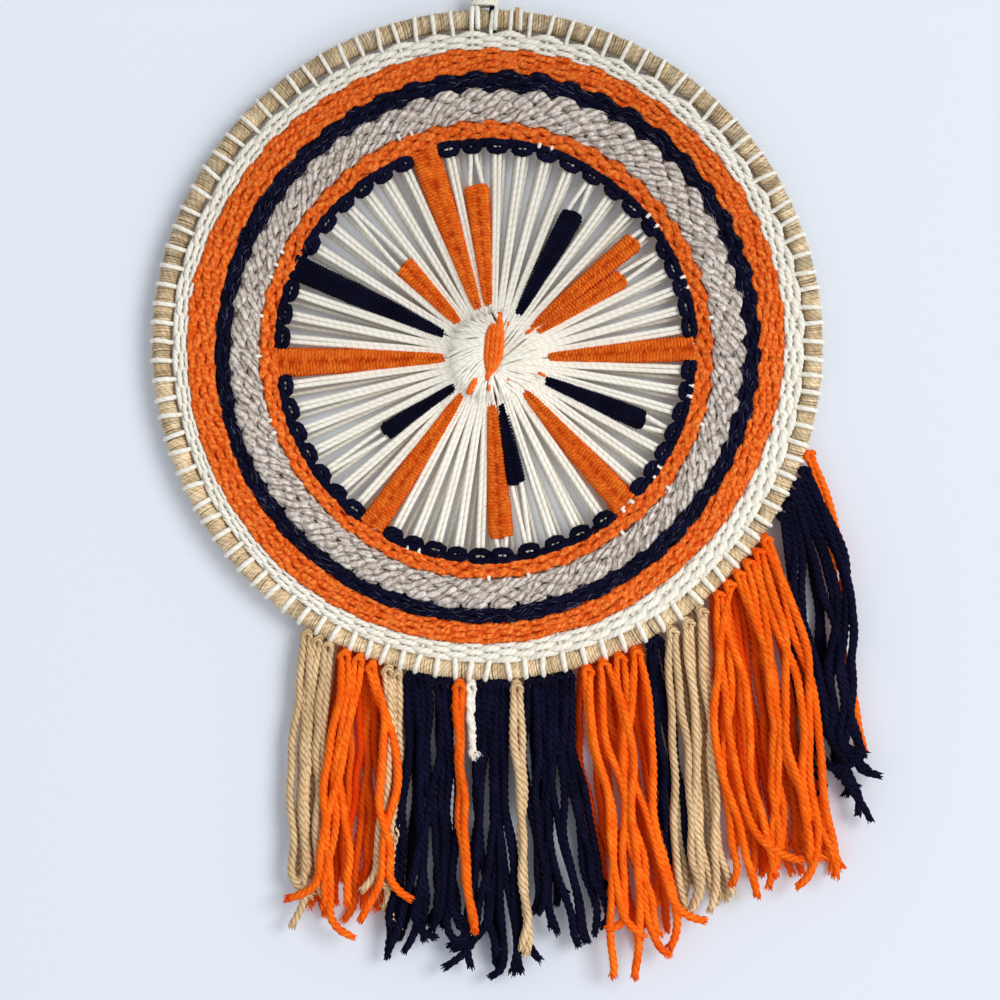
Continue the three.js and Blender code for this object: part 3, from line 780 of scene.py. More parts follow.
def rosettePart(course, rng):
    # from beside the eye, over the gathered centre; each part is a list of (right and up, depth, radius)
    pair, side, direction, aside = (course[key] for key in ("pair", "side", "direction", "aside"))
    way = math.atan2(direction[1], direction[0])
    start = eyeStart(way + rosette["turned"] * side) + rng.normal(0, rosette["startSpread"], 2)
    edge = hub + direction * (warp["hubReach"] + rng.normal(0, rosette["edgeSpread"]))
    edge = edge + aside * (side * warp["atHub"] + strayAt(pair, 0))
    lift = rosette["lifts"][pair % 2] + rng.uniform(-rosette["liftSpread"], rosette["liftSpread"])
    bend = rng.normal(0, rosette["bend"])
    part = []
    for t in rosette["steps"]:
        arch = math.sin(math.pi * t)
        flat = start * (1 - t) + edge * t + aside * bend * arch
        depth = rosette["depth"] * (1 - t) + rosette["edgeDepth"] * t - rosette["arch"] * arch - lift * t
        part.append((flat, depth, rosette["thin"] + rosette["grows"] * t))
    tucked = rosette["tucked"]
    return [*part, (edge, tucked["depth"] - tucked["lift"] * lift, tucked["radius"])]


def openPart(course, rng):
    # straight from the hub to the ring, through a spoke where the pair has one
    length, spoke = course["length"], spokeAt(course["pair"])
    sag = rng.normal(0, warp["sag"])
    risen = warp["front"]
    if not (spoke and spoke["full"]):
        risen = warp["chainDepth"] + rng.uniform(*warp["lifted"])
    part = []
    for t in warp["steps"]:
        far = warp["hubReach"] + (length - warp["hubReach"]) * t
        apart = warp["atHub"] + (warp["atRing"] - warp["atHub"]) * t + rng.normal(0, warp["spread"])
        if spoke and far > spoke["from"] - warp["nearSpoke"]:
            inSpoke = spokeWidth(spoke, far) / 4
            past = np.clip((far - spoke["to"]) / max(1, length - warp["pastRing"] - spoke["to"]), 0, 1)
            apart = inSpoke + (warp["pastSpoke"] - inSpoke) * past
        apart = course["side"] * apart + strayAt(course["pair"], t)
        depth = warp["front"] + sag * math.sin(math.pi * t)
        if t > warp["liftAt"]:
            depth = warp["front"] + (risen - warp["front"]) * (t - warp["liftAt"]) / (1 - warp["liftAt"])
        part.append((hub + course["direction"] * far + course["aside"] * apart, depth, warp["radius"]))
    return part


def wovenPart(course, rng):
    # through the weaving, hidden but for the few threads that tick or peep through
    own, hidden, bare = course["own"], woven["hidden"], woven["bare"]
    inner = float(reachAt(edges["chainOuter"], own)) + 2
    tick = float(reachAt(edges["innerOrange"], own)) + rng.normal(0.2, 0.3)
    ticked = woven["tick"] if rng.random() < warp["ticks"] else hidden
    chance = np.random.default_rng(300 + course["pair"]).random()
    peeped = woven["peep"] if chance < warp["peeps"] * (1 + math.cos(own)) else hidden
    shown = float(reachAt(edges["orangeOuter"], own))
    places = [
        (inner - 2.2, peeped), (inner - 0.9, peeped), (inner + 0.8, hidden),
        (tick - 2.0, hidden), (tick - 0.4, ticked), (tick + 0.4, ticked), (tick + 2.0, hidden),
        (shown - 1.0, hidden), (shown + 1.2, bare), (hoop["inside"] - 1, bare),
    ]
    level = clothMiddle - woven["sway"] * math.cos(math.pi * course["thread"])
    return [(radius * outward(own), level + back, size) for radius, (back, size) in places]


def hoopPart(course, rng):
    # over the hoop and down its back
    own = course["own"]
    lean = rng.normal(0, overHoop["lean"])
    shift = rng.normal(0, overHoop["shift"])
    part = []
    for t in np.linspace(0, 1, overHoop["steps"]):
        turn = math.radians(overHoop["from"] + overHoop["turn"] * t)
        outside = max(0, math.cos(turn))
        ride = hoop["tube"] + overHoop["radius"] * (overHoop["ride"] - overHoop["pressed"] * outside)
        arch = math.sin(math.pi * t)
        at = own + shift * arch + lean * (t - 0.5) * arch
        size = overHoop["radius"] * (1 - overHoop["slimmer"] * math.sin(own))
        size = size * (1 - overHoop["flatter"] * outside)
        part.append(((hoop["radius"] + ride * math.cos(turn)) * outward(at), ride * math.sin(turn), size))
    return part


def backPart(course):
    # the back layer, in to the hub, where it is gathered and drawn thin
    own = course["own"]
    start = (hoop["inside"] - backLayer["inset"]) * outward(own)
    end = hub + backLayer["hubReach"] * outward(own)
    layer = backLayer["layers"][course["thread"] % 2]
    part = []
    for t in backLayer["steps"]:
        depth = backLayer["depth"] + layer * t + (backLayer["gathered"] if t == 1.0 else 0)
        size = backLayer["radius"] * (1 if t < 0.7 else 1.6 - 0.9 * t)
        part.append((start * (1 - t) + end * t, depth, size))
    return part


def warpThread(thread, rng):
    course = threadCourse(thread)
    parts = [rosettePart(course, rng), openPart(course, rng), wovenPart(course, rng), hoopPart(course, rng),
             backPart(course)]
    route = [step for part in parts for step in part]
    points = np.array([(flat[0], depth, flat[1]) for flat, depth, radius in route])
    # painted shade: the thread is painted darker at the top of the hoop
    return yarnLine(points, [radius for flat, depth, radius in route], tone=paintedShadeTone(course["own"]))


rng = np.random.default_rng(7)
warpPiece = yarnPiece("warp_threads", [warpThread(thread, rng) for thread in range(threadCount)], cream,
                      "cream_cotton", ["front_warp", "back_warp"], plies=2, perPly=4, groove=0.0,
                      lead=warp["lead"], seed=8)


print("stage: hoop")
twine = {
    "radius": 0.69,
    "bedded": 0.85,       # share of that radius between its middle and the outside
    "pitch": 1.16,        # from wrap to wrap
    "steps": 10,          # for each wrap
    "lead": 5,
    "slant": 0.45,        # how far a wrap leans, in wraps
    "stray": 0.16,        # how unevenly they follow each other, one by one and over nine
    "bunched": 0.5,
    "proud": 0.1,         # unevenness of how far they stand out and of their thickness
    "thicker": 0.07,
    "tone": 0.58,         # at the sides, how much paler it is painted low down and darker at the top, as painted shade, and its unevenness
    "paler": 0.46,
    "mottled": 0.36,
}


def juteWraps():
    # one length of twine wound round the ring, each wrap a little slanted and of its own tone, painted
    # darker towards the top as painted shade
    rng = np.random.default_rng(11)
    wraps = round(2 * math.pi * hoop["radius"] / twine["pitch"])
    along = np.arange(wraps * twine["steps"]) / twine["steps"]

    def perWrap(reach, share=1):
        values = rng.normal(0, reach, wraps // share + 1)
        values[-1] = values[0]
        return np.interp(along, np.arange(len(values)) * wraps / (len(values) - 1), values)

    shift = perWrap(twine["stray"]) + perWrap(twine["bunched"], 9)
    turn = 2 * math.pi * along
    angle = 2 * math.pi * (along + shift + twine["slant"] * np.sin(turn)) / wraps
    ride = hoop["tube"] - twine["radius"] * twine["bedded"] + perWrap(twine["proud"])
    radius = hoop["radius"] + ride * np.cos(turn)
    size = twine["radius"] * (1 + perWrap(twine["thicker"]))
    tone = np.clip(twine["tone"] - twine["paler"] * np.sin(angle) + perWrap(twine["mottled"]), 0, 1.1)
    return yarnLine(polar(radius, angle, ride * np.sin(turn)), size, closed=True, tone=tone)


yarnPiece("jute_wraps", [juteWraps()], jute, "jute_twine", ["wrapped_hoop"], plies=2, perPly=3, groove=0.0,
          lead=twine["lead"], seed=12)


print("stage: chain")
chain = {
    "radius": 1.82, "depth": -4.0, "lead": 12, "spacing": 1.3,
    "endOut": -1.6, "endDepth": 1.0,                              # where it starts and ends
    "joinRadius": 1.3, "joinOut": -2.5, "joinDepth": -0.6,        # the yarn that runs on behind its loops
    "size": (-0.12, 0.14), "lean": 0.3, "loose": 0.15, "joinLoose": 0.2, "outwards": 0.2,
}
# One loop of the chain round a pair of warp threads: mm along the ring, in from its middle line, and back.
chainLoop = [
    (-4.9, -1.5, 0.3), (-2.4, -1.85, -0.6), (1.8, -1.9, -0.7), (3.3, -0.8, -0.3), (2.8, 1.2, -0.5),
    (0.8, 1.75, -0.9), (-1.6, 1.7, -0.9), (-3.2, 0.9, 0.1), (-3.1, -0.5, 1.3), (-1.0, -1.2, 2.0),
    (3.2, -1.4, 1.4),
]


def chainPoint(pair, aside, inwards, depth):
    angle = float(pairAngle(pair))
    inner, outer = reachAt(edges["chainInner"], angle), reachAt(edges["chainOuter"], angle)
    angle = angle + float(strayAt(pair % pairCount, 1)) / inner
    middle = (inner + outer) / 2 + chain["outwards"]
    return polar(middle - inwards, angle - aside / middle, chain["depth"] + depth)


def chainStrand(first, last, rng):
    # the yarn between two full spokes, with a loop round each pair between them
    route = [chainPoint(last - 0.5, 0, chain["endOut"], chain["endDepth"])]
    for pair in range(last - 1, first, -1):
        size = 1 + rng.uniform(*chain["size"])
        lean = rng.normal(0, chain["lean"])
        for aside, inwards, depth in chainLoop:
            route.append(chainPoint(pair, aside * size, inwards * size + lean * aside / 6,
                                    depth + rng.normal(0, chain["loose"])))
    route.append(chainPoint(first + 0.5, 0, chain["endOut"], chain["endDepth"]))
    joins = [chainPoint(pair, 0, chain["joinOut"] + rng.normal(0, chain["loose"]),
                        chain["joinDepth"] + rng.normal(0, chain["joinLoose"]))
             for pair in np.arange(last - 0.6, first + 0.5, -0.5)]
    return [yarnLine(smoothLine(route, chain["spacing"]), chain["radius"]),
            yarnLine(smoothLine(joins, chain["spacing"]), chain["joinRadius"])]


fullPairs = [spoke["pair"] for spoke in spokes if spoke["full"]]
rng = np.random.default_rng(31)
chainStrands = []
for first, last in zip(fullPairs, fullPairs[1:] + [fullPairs[0] + pairCount]):
    chainStrands += chainStrand(first, last, rng)
chainPiece = yarnPiece("navy_chain", chainStrands, navy, "navy_yarn", chainNodes, plies=4, perPly=2,
                       groove=0.16, lead=chain["lead"], seed=32)


print("stage: spokes")
wrap = {
    "radius": 0.86,
    "pitch": 1.5,         # from pass to pass
    "steps": 8,           # for each turn
    "lead": 8,
    "depth": -3.1,        # the middle of a spoke, and how far the yarn swings to the front and the back
    "swing": 2.15,
    "cross": 0.12,        # how far past the middle it comes up
    "inset": 0.8,
    "nearer": 2.5,        # how far the winding starts before the CAD piece's tip, or a value of its own
    "own": {0: 0.8, 9: 4.6, 14: 1.2, 16: 1.4, 23: 1.4, 27: 3.2, 32: 3.4, 35: 6.5, 41: 10, 42: 4.8, 50: 1.4},
    "beyond": 1.6,        # how far it goes on past the far end of a full spoke and of a short one
    "longer": 1.2,
    "flare": 0.24,        # a full spoke widens by this share over its last mm
    "flareOver": 6,
    "rounded": 0.26,      # a short one narrows at its corners, over so many mm from so many before its end
    "cornerOver": 2.2,
    "cornerFrom": 2.8,
    "slant": 0.5,         # how far a pass leans along the spoke
    "opens": 12,          # mm over which the tip opens
    "loose": 0.1,
    "uneven": 0.05,
    "mottled": 0.18,
    "reach": 84,          # from hub to ring, for the pairs' stray
}


def spokeWraps(spoke, rng):
    # yarn in a figure of eight round a pair of threads, from a blunt tip to a full end
    start = spoke["from"] - wrap["own"].get(spoke["pair"], wrap["nearer"])
    end = spoke["to"] + (wrap["beyond"] if spoke["full"] else wrap["longer"])
    turns = round((end - start) / wrap["pitch"])
    along = np.arange(turns * wrap["steps"]) / (turns * wrap["steps"])
    turn = 2 * math.pi * turns * along
    far = start + wrap["inset"] + (end - start - 2 * wrap["inset"]) * along
    opened = np.clip((far - spoke["from"]) / wrap["opens"], 0, 1)
    width = spokeWidth(spoke, far)
    if spoke["full"]:
        flared = np.clip((far - spoke["to"] + wrap["flareOver"]) / wrap["flareOver"], 0, 1) ** 2
        width = width * (1 + wrap["flare"] * flared)
    else:
        cornered = np.clip((far - end + wrap["cornerFrom"]) / wrap["cornerOver"], 0, 1) ** 2
        width = width * (1 - wrap["rounded"] * cornered)
    size = wrap["radius"] * (0.93 + 0.07 * opened)
    half = width / 2 - size + drift(len(along), wrap["loose"], rng, turns)
    # each pass comes up a little across the middle, between two from the other side
    crossing = turn + wrap["cross"]
    depth = wrap["depth"] - wrap["swing"] * np.sin(2 * crossing) * (0.6 + 0.4 * opened)
    far = far + wrap["slant"] * np.cos(2 * turn) + drift(len(along), wrap["uneven"], rng, 2 * turns)
    direction = spoke["direction"]
    aside = np.array([-direction[1], direction[0]])
    beside = half * np.sin(turn) + strayAt(spoke["pair"], np.clip(far / wrap["reach"], 0, 1))
    flat = hub + far[:, None] * direction + beside[:, None] * aside
    tone = abs(np.sin(crossing)) + drift(len(along), wrap["mottled"], rng, 2 * turns)  # painted shade where it dives
    return yarnLine(np.stack([flat[:, 0], depth, flat[:, 1]], axis=1), size, tone=np.clip(tone, 0, 1))


spokePieces, wound = [], {}
for index, (yarn, material) in enumerate([("orange", orangeWrap), ("navy", navy)]):
    rng = np.random.default_rng(41 + index)
    own = [spoke for spoke in spokes if spoke["yarn"] == yarn]
    wound[yarn] = [spokeWraps(spoke, rng) for spoke in own]
    spokePieces.append(yarnPiece(f"{yarn}_spokes", wound[yarn], material, f"{yarn}_yarn",
                                 [spoke["node"] for spoke in own], plies=3, perPly=2, groove=0.0,
                                 lead=wrap["lead"], seed=43 + index))


print("stage: centre")
# The gathered threads make a cushion under the rosette and a smaller one behind: depth and half sizes.
cushions = [(-3.9, (18.2, 4.6, 16.4)), (3.6, (9.5, 3.0, 8.5))]


def gatheredMesh():
    shape = bmesh.new()
    for depth, reach in cushions:
        made = bmesh.ops.create_uvsphere(shape, u_segments=48, v_segments=24, radius=1)
        bmesh.ops.scale(shape, verts=made["verts"], vec=reach)
        bmesh.ops.translate(shape, verts=made["verts"], vec=(hub[0], depth, hub[1]))
    for face in shape.faces:
        face.smooth = True
    return meshFrom(shape, "gathered_centre")


keepPiece("gathered_centre", gatheredMesh(), shadedCotton, ["centre_knot"])

# The eye is a bundle of orange strands: right of and above the hoop's middle, and half its width there.
eyeSpine = [
    (3.9, 8.4, 2.5), (3.7, 6.6, 3.6), (3.5, 3.8, 4.2), (3.1, -1.0, 4.4), (2.6, -6.0, 4.2),
    (1.9, -9.8, 3.1), (1.0, -12.6, 1.9), (-0.3, -15.2, 1.0), (-1.1, -17.4, 0.7),
]
# Ends of the same yarn that show between the white threads round it: from, to, radius.
eyeBits = [
    ((6.4, 5.4), (4.9, 13.4), 1.6), ((9.6, 6.6), (9.0, 10.6), 0.55), ((-4.4, -14.4), (-8.4, -21.8), 1.5),
    ((1.2, -17.8), (0.7, -21.2), 1.0), ((8.6, -14.8), (9.6, -18.4), 0.7), ((17.4, 4.6), (20.0, 6.6), 0.8),
    ((22.9, -13.0), (25.4, -14.2), 0.75),
]
eye = {"radius": 1.4, "strands": (-1.0, -0.35, 0.3, 1.0), "depth": -9.8, "round": 0.7, "settled": 1.2,
       "settles": 3, "bitDepth": -9.0, "lead": 9}


def eyeStrand(aside):
    line = smoothLine(eyeSpine, 1.2)
    size = np.minimum(eye["radius"], line[:, 2])
    beside = aside * (line[:, 2] - size)
    settled = eye["settled"] * np.clip(1 - line[:, 2] / eye["settles"], 0, 1)
    depth = eye["depth"] + eye["round"] * aside ** 2 + settled
    return yarnLine(np.stack([line[:, 0] + beside, depth, line[:, 1]], axis=1), size)


def eyeBit(start, end, radius):
    line = smoothLine([(start[0], eye["bitDepth"] + 1.5, start[1]),
                       ((start[0] + end[0]) / 2, eye["bitDepth"], (start[1] + end[1]) / 2),
                       (end[0], eye["bitDepth"] + 2.0, end[1])], 1.0)
    return yarnLine(line, radius)


eyeStrands = [eyeStrand(aside) for aside in eye["strands"]] + [eyeBit(*bit) for bit in eyeBits]
yarnPiece("orange_eye", eyeStrands, orangeEye, "orange_yarn", ["centre_eye"], plies=4, perPly=3,
          groove=0.17, lead=eye["lead"], seed=51)


print("stage: fringe")
fringe = {
    "radius": 2.02,
    "lead": 12.8,
    "spacing": 1.6,       # between the sections of a strand
    "layers": {"front": -4.4, "middle": -1.0, "back": 2.6, "deep": 5.0},
    "spread": 0.68,       # half the spacing of a folded yarn's strands, its unevenness, and a hitch's
    "spreads": (0.9, 1.15),  # radius, in radii of the yarn
    "hitch": 0.66,
    "hitchTone": 0.6,
    "root": 3.4,          # how far below the rim a strand starts
    "tucked": 2.1,        # how much higher the strands behind do
    "slack": (-0.5, 0.8),
    "rootDepth": 0.6,     # share of its layer's depth at the root
    "apart": 0.25,        # how far aside the two strands hang, against the spacing of the yarns
    "lumpy": 0.03,        # unevenness of its thickness, in so many lumps
    "lumps": 8,
    "opens": 9,           # mm over which a strand reaches its full thickness
    # the strands behind get tones low enough to be painted in shade
    "deepTones": (0.0, 0.35),
    "tones": (0.4, 1.0),
}
# The front of a cow hitch: halves of its strands' spacing to the right, mm out from the rim, and back.
hitchRoute = [(-1.3, 5.0, 1.5), (-1.4, 4.0, -0.7), (-0.85, 2.1, -1.9), (0, 1.4, -2.2), (0.85, 2.1, -1.9),
              (1.4, 4.0, -0.7), (1.3, 5.0, 1.5)]
crownRoute = [(-0.6, 0.9, -0.6), (0, -0.2, -0.8), (0.6, 0.9, -0.6)]
hang = {
    "points": 32,
    "calm": 0.35,         # how little the strands behind stray, against the others
    "jitter": 0.15,       # unevenness of their spread half way down and at the tips
    "shorter": 0.4,       # the strands behind end higher by this share of uneven
    "waves": (0.9, 1.5),  # how many times a strand strays, ripples and crimps from side to side
    "ripples": (3.0, 4.2),
    "ripple": 0.45,
    "crimps": (3.5, 5.0),
    "crimpFrom": 0.55,    # shares of its length from the root
    "curlFrom": 0.86,
    "aside": 1.5,         # how a curled end turns aside and up
    "up": 0.9,
    "bowTo": 0.6,
    "mostCurl": 1.6,
    "settled": 1.2,       # unevenness of its depth, and how far it sways in depth
    "sway": 0.6,
}
# Each bundle is knotted to a stretch of the hoop, in degrees, as strands in its own layer and more behind.
# The strands hang between a left and a right edge half way down and at the tips; bottom is the lowest
# tip, uneven how much the tips differ, wander how far a strand strays, curl how far its end turns, and
# crimp how far it waves near its tip. bow is how far the strands on the right stand out before they drop.
bundleColumns = ("yarn", "from", "to", "strands", "behind", "layer", "mid", "tip", "bottom", "uneven",
                 "wander", "curl", "crimp", "bow")
bundleRows = [
    ("tan", 237.2, 243.2, 6, 4, "middle", (-87, -74), (-86, -74), -264, 34, 1.0, 2.5, 0.8, 0),
    ("orange", 244.2, 251.5, 6, 14, "front", (-75, -42), (-79, -42), -270, 24, 3.4, 3.4, 0.8, 0),
    ("tan", 252.2, 255.6, 4, 2, "middle", (-48, -39), (-54, -42), -261, 20, 1.2, 3.0, 0.8, 0),
    ("navy", 256.2, 264, 12, 4, "middle", (-38, -14), (-44, -10), -276, 20, 2.0, 5.0, 0.8, 0),
    ("orange", 264.6, 266, 2, 0, "front", (-13.5, -10), (-8, -4.5), -261, 4, 1.0, 1.0, 0.8, 0),
    ("cream", 266.8, 267.8, 2, 0, "middle", (-8, -6), (-7.5, -5.5), -185, 3, 0.6, 1.0, 0.8, 0),
    ("navy", 268.4, 273.6, 10, 2, "middle", (-5, 12.5), (-12, 19), -287, 16, 1.4, 3.5, 0.8, 0),
    ("tan", 274.2, 275.6, 2, 0, "front", (13, 17.5), (16, 21.5), -274, 8, 1.2, 1.0, 0.8, 0),
    ("navy", 276.4, 284.6, 10, 4, "middle", (19, 43), (25, 58), -268, 18, 2.2, 5.0, 0.8, 0),
    ("orange", 285.6, 297.2, 8, 12, "front", (44, 77), (55, 88), -283, 30, 3.6, 4.0, 0.8, 0),
    ("navy", 298.2, 300.4, 4, 0, "back", (74, 86), (79, 92), -240, 10, 1.2, 2.0, 0.8, 0),
    ("tan", 301.2, 310.2, 6, 4, "middle", (82, 103), (86, 110), -255, 12, 1.6, 2.0, 0.8, 0),
    ("orange", 311.4, 326, 12, 18, "front", (104, 143), (113, 157), -246, 16, 2.8, 5.0, 0.8, 3.0),
    ("navy", 328.6, 339.2, 10, 2, "middle", (137, 160), (150, 170), -217, 34, 3.0, 5.0, 3.2, 7.0),
    ("orange", 340.4, 341.6, 2, 0, "back", (152, 156), (165, 170), -182, 3, 1.0, 1.0, 0.8, 11.0),
]
bundles = [{**dict(zip(bundleColumns, row)), "node": f"fringe_{number}_{row[0]}"}
           for number, row in enumerate(bundleRows, 1)]


def between(limits, share):
    return limits[0] + (limits[1] - limits[0]) * share


def waves(t, count, rng):
    # a wave along t with a random number of turns, between two limits, and a random start
    return np.sin(2 * math.pi * (rng.uniform(*count) * t + rng.random()))


def hangingStrand(bundle, root, share, layer, rng):
    # one strand from its root on the hoop down to its tip
    calm = hang["calm"] if layer == "deep" else 1.0
    jitter = rng.normal(0, hang["jitter"] * calm, 2)
    mid = between(bundle["mid"], np.clip(share + jitter[0], 0, 1))
    tip = between(bundle["tip"], np.clip(share + jitter[1], 0, 1))
    bottom = bundle["bottom"] + bundle["uneven"] * rng.random()
    if layer == "deep":
        bottom = bottom + hang["shorter"] * bundle["uneven"]
    t = np.linspace(0, 1, hang["points"])
    x = root[0] * (1 - t) * (1 - 2 * t) + mid * 4 * t * (1 - t) + tip * t * (2 * t - 1)
    z = root[2] + (bottom - root[2]) * t
    x = x + bundle["bow"] * share * np.sin(math.pi * np.clip(t / hang["bowTo"], 0, 1))
    wide = bundle["wander"] * calm * np.sin(math.pi * np.clip(t * 1.15, 0, 1))
    x = x + wide * waves(t, hang["waves"], rng)
    x = x + hang["ripple"] * waves(t, hang["ripples"], rng) * np.clip(t * 4, 0, 1)
    crimped = bundle["crimp"] * np.clip((t - hang["crimpFrom"]) / (1 - hang["crimpFrom"]), 0, 1) ** 1.5
    x = x + crimped * waves(t, hang["crimps"], rng)
    curl = np.clip(rng.normal(0, 1), -hang["mostCurl"], hang["mostCurl"]) * bundle["curl"] * calm
    late = np.clip((t - hang["curlFrom"]) / (1 - hang["curlFrom"]), 0, 1)
    x = x + hang["aside"] * curl * late ** 2
    z = z + hang["up"] * abs(curl) * late ** 2.2
    settled = fringe["layers"][layer] + rng.uniform(-hang["settled"], hang["settled"])
    clear = np.clip(t * 6, 0, 1)
    y = root[1] + (settled - root[1]) * clear
    y = y + hang["sway"] * np.sin(2 * math.pi * (1.3 * t + rng.random())) * clear
    return np.stack([x, y, z], axis=1)


def cowHitch(angle, spread, reach, depth):
    # the front of the hitch: the loop of the folded yarn, lying across its own two strands
    rim = hoop["rim"] - reach
    line = smoothLine([polar(rim + out, angle + across * spread, depth + back)
                       for across, out, back in hitchRoute], 1.2)
    return yarnLine(line, fringe["hitch"] * fringe["radius"], tone=fringe["hitchTone"])


def foldedYarn(bundle, place, layer, rng):
    # a length of yarn folded over the hoop's edge, its two strands hanging side by side
    deep = layer == "deep"
    angle = math.radians(bundle["from"] + (bundle["to"] - bundle["from"]) * place)
    spread = fringe["spread"] * fringe["radius"] * rng.uniform(*fringe["spreads"]) / (hoop["rim"] + 2)
    depth = fringe["layers"][layer] * fringe["rootDepth"]
    reach = (fringe["tucked"] if deep else 0) + rng.uniform(*fringe["slack"])
    pairs = max(2, bundle["strands"] // 2)
    halves = []
    for side in (-1, 1):
        root = polar(hoop["rim"] + fringe["root"] - reach, angle + side * spread, depth)
        halves.append(hangingStrand(bundle, root, place + side * fringe["apart"] / pairs, layer, rng))
    crown = [polar(hoop["rim"] + out - reach, angle + across * spread, depth + back)
             for across, out, back in crownRoute]
    line = smoothLine(np.vstack([halves[0][::-1], crown, halves[1]]), fringe["spacing"])
    near = np.minimum(np.arange(len(line)), np.arange(len(line))[::-1]) * fringe["spacing"]
    below = np.hypot(line[:, 0], line[:, 2]) - hoop["rim"] + reach
    fallen = np.clip((below - 3) / fringe["opens"], 0, 1)
    narrow = fringe["spread"]
    size = fringe["radius"] * (narrow + (1 - narrow) * fallen) * (0.86 + 0.14 * np.clip(near / 4, 0, 1))
    size = size * (1 + drift(len(line), fringe["lumpy"], rng, fringe["lumps"]))
    tone = rng.uniform(*fringe["deepTones" if deep else "tones"])
    folded = yarnLine(line, size, tone=tone)
    return [folded] if deep else [folded, cowHitch(angle, spread, reach, depth)]


# Where a cut end frays, wisps of fibre stand out of it.
wisp = {"count": 15, "radii": 0.3 * np.array([1.4, 1.2, 0.6]), "length": (1.4, 3.2), "back": 0.8,
        "out": (0.2, 1.7), "splay": (-0.1, 0.35), "bend": 0.25}


def frayedEnd(line, rng):
    end = line[0]
    down = (line[0] - line[2]) / np.linalg.norm(line[0] - line[2])
    steps = np.array([0, 0.5, 1.0])[:, None]
    wisps = []
    for _ in range(wisp["count"]):
        out = rng.normal(0, 1, 3)
        out = out - down * (out @ down)
        out = out / np.linalg.norm(out)
        length = rng.uniform(*wisp["length"])
        base = end - down * wisp["back"] + out * rng.uniform(*wisp["out"])
        way = down + out * rng.uniform(*wisp["splay"])
        points = base + steps * length * way + steps ** 2 * rng.normal(0, wisp["bend"], 3)
        wisps.append(yarnLine(points, wisp["radii"]))
    return wisps


yarnLooks = {
    "tan": (tan, "tan_yarn"), "orange": (orange, "orange_yarn"), "navy": (navy, "navy_yarn"),
    "cream": (creamWeft, "cream_cotton"),
}
rng = np.random.default_rng(61)
fringeYarns = {yarn: [] for yarn in yarnLooks}
cutLines = {yarn: [] for yarn in yarnLooks}
for bundle in bundles:
    for layer, strands in ((bundle["layer"], bundle["strands"]), ("deep", bundle["behind"])):
        for first in range(strands // 2):
            made = foldedYarn(bundle, (first + 0.5) / (strands // 2), layer, rng)
            fringeYarns[bundle["yarn"]] += made
            cutLines[bundle["yarn"]].append(made[0]["points"])
for index, (yarn, (material, slot)) in enumerate(yarnLooks.items()):
    nodes = [bundle["node"] for bundle in bundles if bundle["yarn"] == yarn]
    yarnPiece(f"fringe_{yarn}", fringeYarns[yarn], material, slot, nodes, plies=4,
                                  perPly=2, groove=0.24, lead=fringe["lead"], seed=62 + index)
    wisps = [made for line in cutLines[yarn] for end in (line, line[::-1]) for made in frayedEnd(end, rng)]
    yarnPiece(f"frayed_{yarn}", wisps, material, slot, plies=1, perPly=4, groove=0.0,
                                  lead=fringe["lead"], seed=72 + index)


print("stage: fuzz")
# Loose fibres that stand off the brushed yarn: their length, how far their tips stand off it and how far
# they bow. They are drawn thicker than the real ones, which are too fine to show.
fuzz = {"radii": 0.075 * np.array([1.0, 1.0, 0.5]), "length": (2.0, 4.4), "off": (0.1, 0.7),
        "turn": (-1.5, 1.5), "bow": (-0.5, 0.5), "rooted": 0.95}


def looseFibres(strands, every, rng):
    fibres = []
    for strand in strands:
        points = strand["points"]
        step = np.diff(points, axis=0)
        reach = np.linalg.norm(step, axis=1)
        for _ in range(rng.poisson(every * reach.sum() / 100)):
            at = rng.integers(len(step))
            along = step[at] / reach[at] * rng.choice((-1, 1))
            turn = rng.uniform(*fuzz["turn"])
            side = np.cross(along, (0, 1, 0))
            out = math.cos(turn) * np.array([0, -1, 0]) + math.sin(turn) * side / np.linalg.norm(side)
            base = points[at] + step[at] * rng.random() + out * strand["radii"][at] * fuzz["rooted"]
            length = rng.uniform(*fuzz["length"])
            bow = np.cross(along, out) * rng.uniform(*fuzz["bow"]) * length
            off = out * rng.uniform(*fuzz["off"])
            way = along * length
            line = np.array([base, base + 0.5 * way + 0.4 * bow + 0.7 * off, base + way + bow + off])
            fibres.append(yarnLine(line, fuzz["radii"]))
    return fibres


# every is how many there are for each 100 mm of yarn; the outermost taupe row has five times as many
fuzzRows = [
    # name, strands, every, material, slot
    ("orange", weftRows["orange_outer"] + weftRows["orange_inner"][:3], 16, orangeWeft, "orange_yarn"),
    ("navy", weftRows["navy"], 30, navyFuzz, "navy_yarn"),
    ("taupe", weftRows["taupe"][:1] * 5 + weftRows["taupe"][1:], 22, taupe, "taupe_yarn"),
    ("fringe", fringeYarns["orange"], 20, orange, "orange_yarn"),
    ("spokes", wound["orange"], 6, orangeWrap, "orange_yarn"),
]
for index, (name, strands, every, material, slot) in enumerate(fuzzRows):
    fibres = looseFibres(strands, every, np.random.default_rng(91 + index))
    yarnPiece(f"fuzz_{name}", fibres, material, slot, plies=1, perPly=3, groove=0.0,
                                  lead=8, seed=91 + index)


print("stage: ground cloth")
cloth = {
    "inset": 1.0,         # from the weaving's edges
    "thickness": 1.0,
    "forward": 0.4,
    # painted shade: the weft's colours, darkened for the deeper yarn seen between rows, each from this edge
    # outwards
    "colours": {"chainOuter": "#A03408", "innerOrange": "#6A5646", "taupeOuter": "#04050E",
                "navyOuter": "#D04C0C"},
}


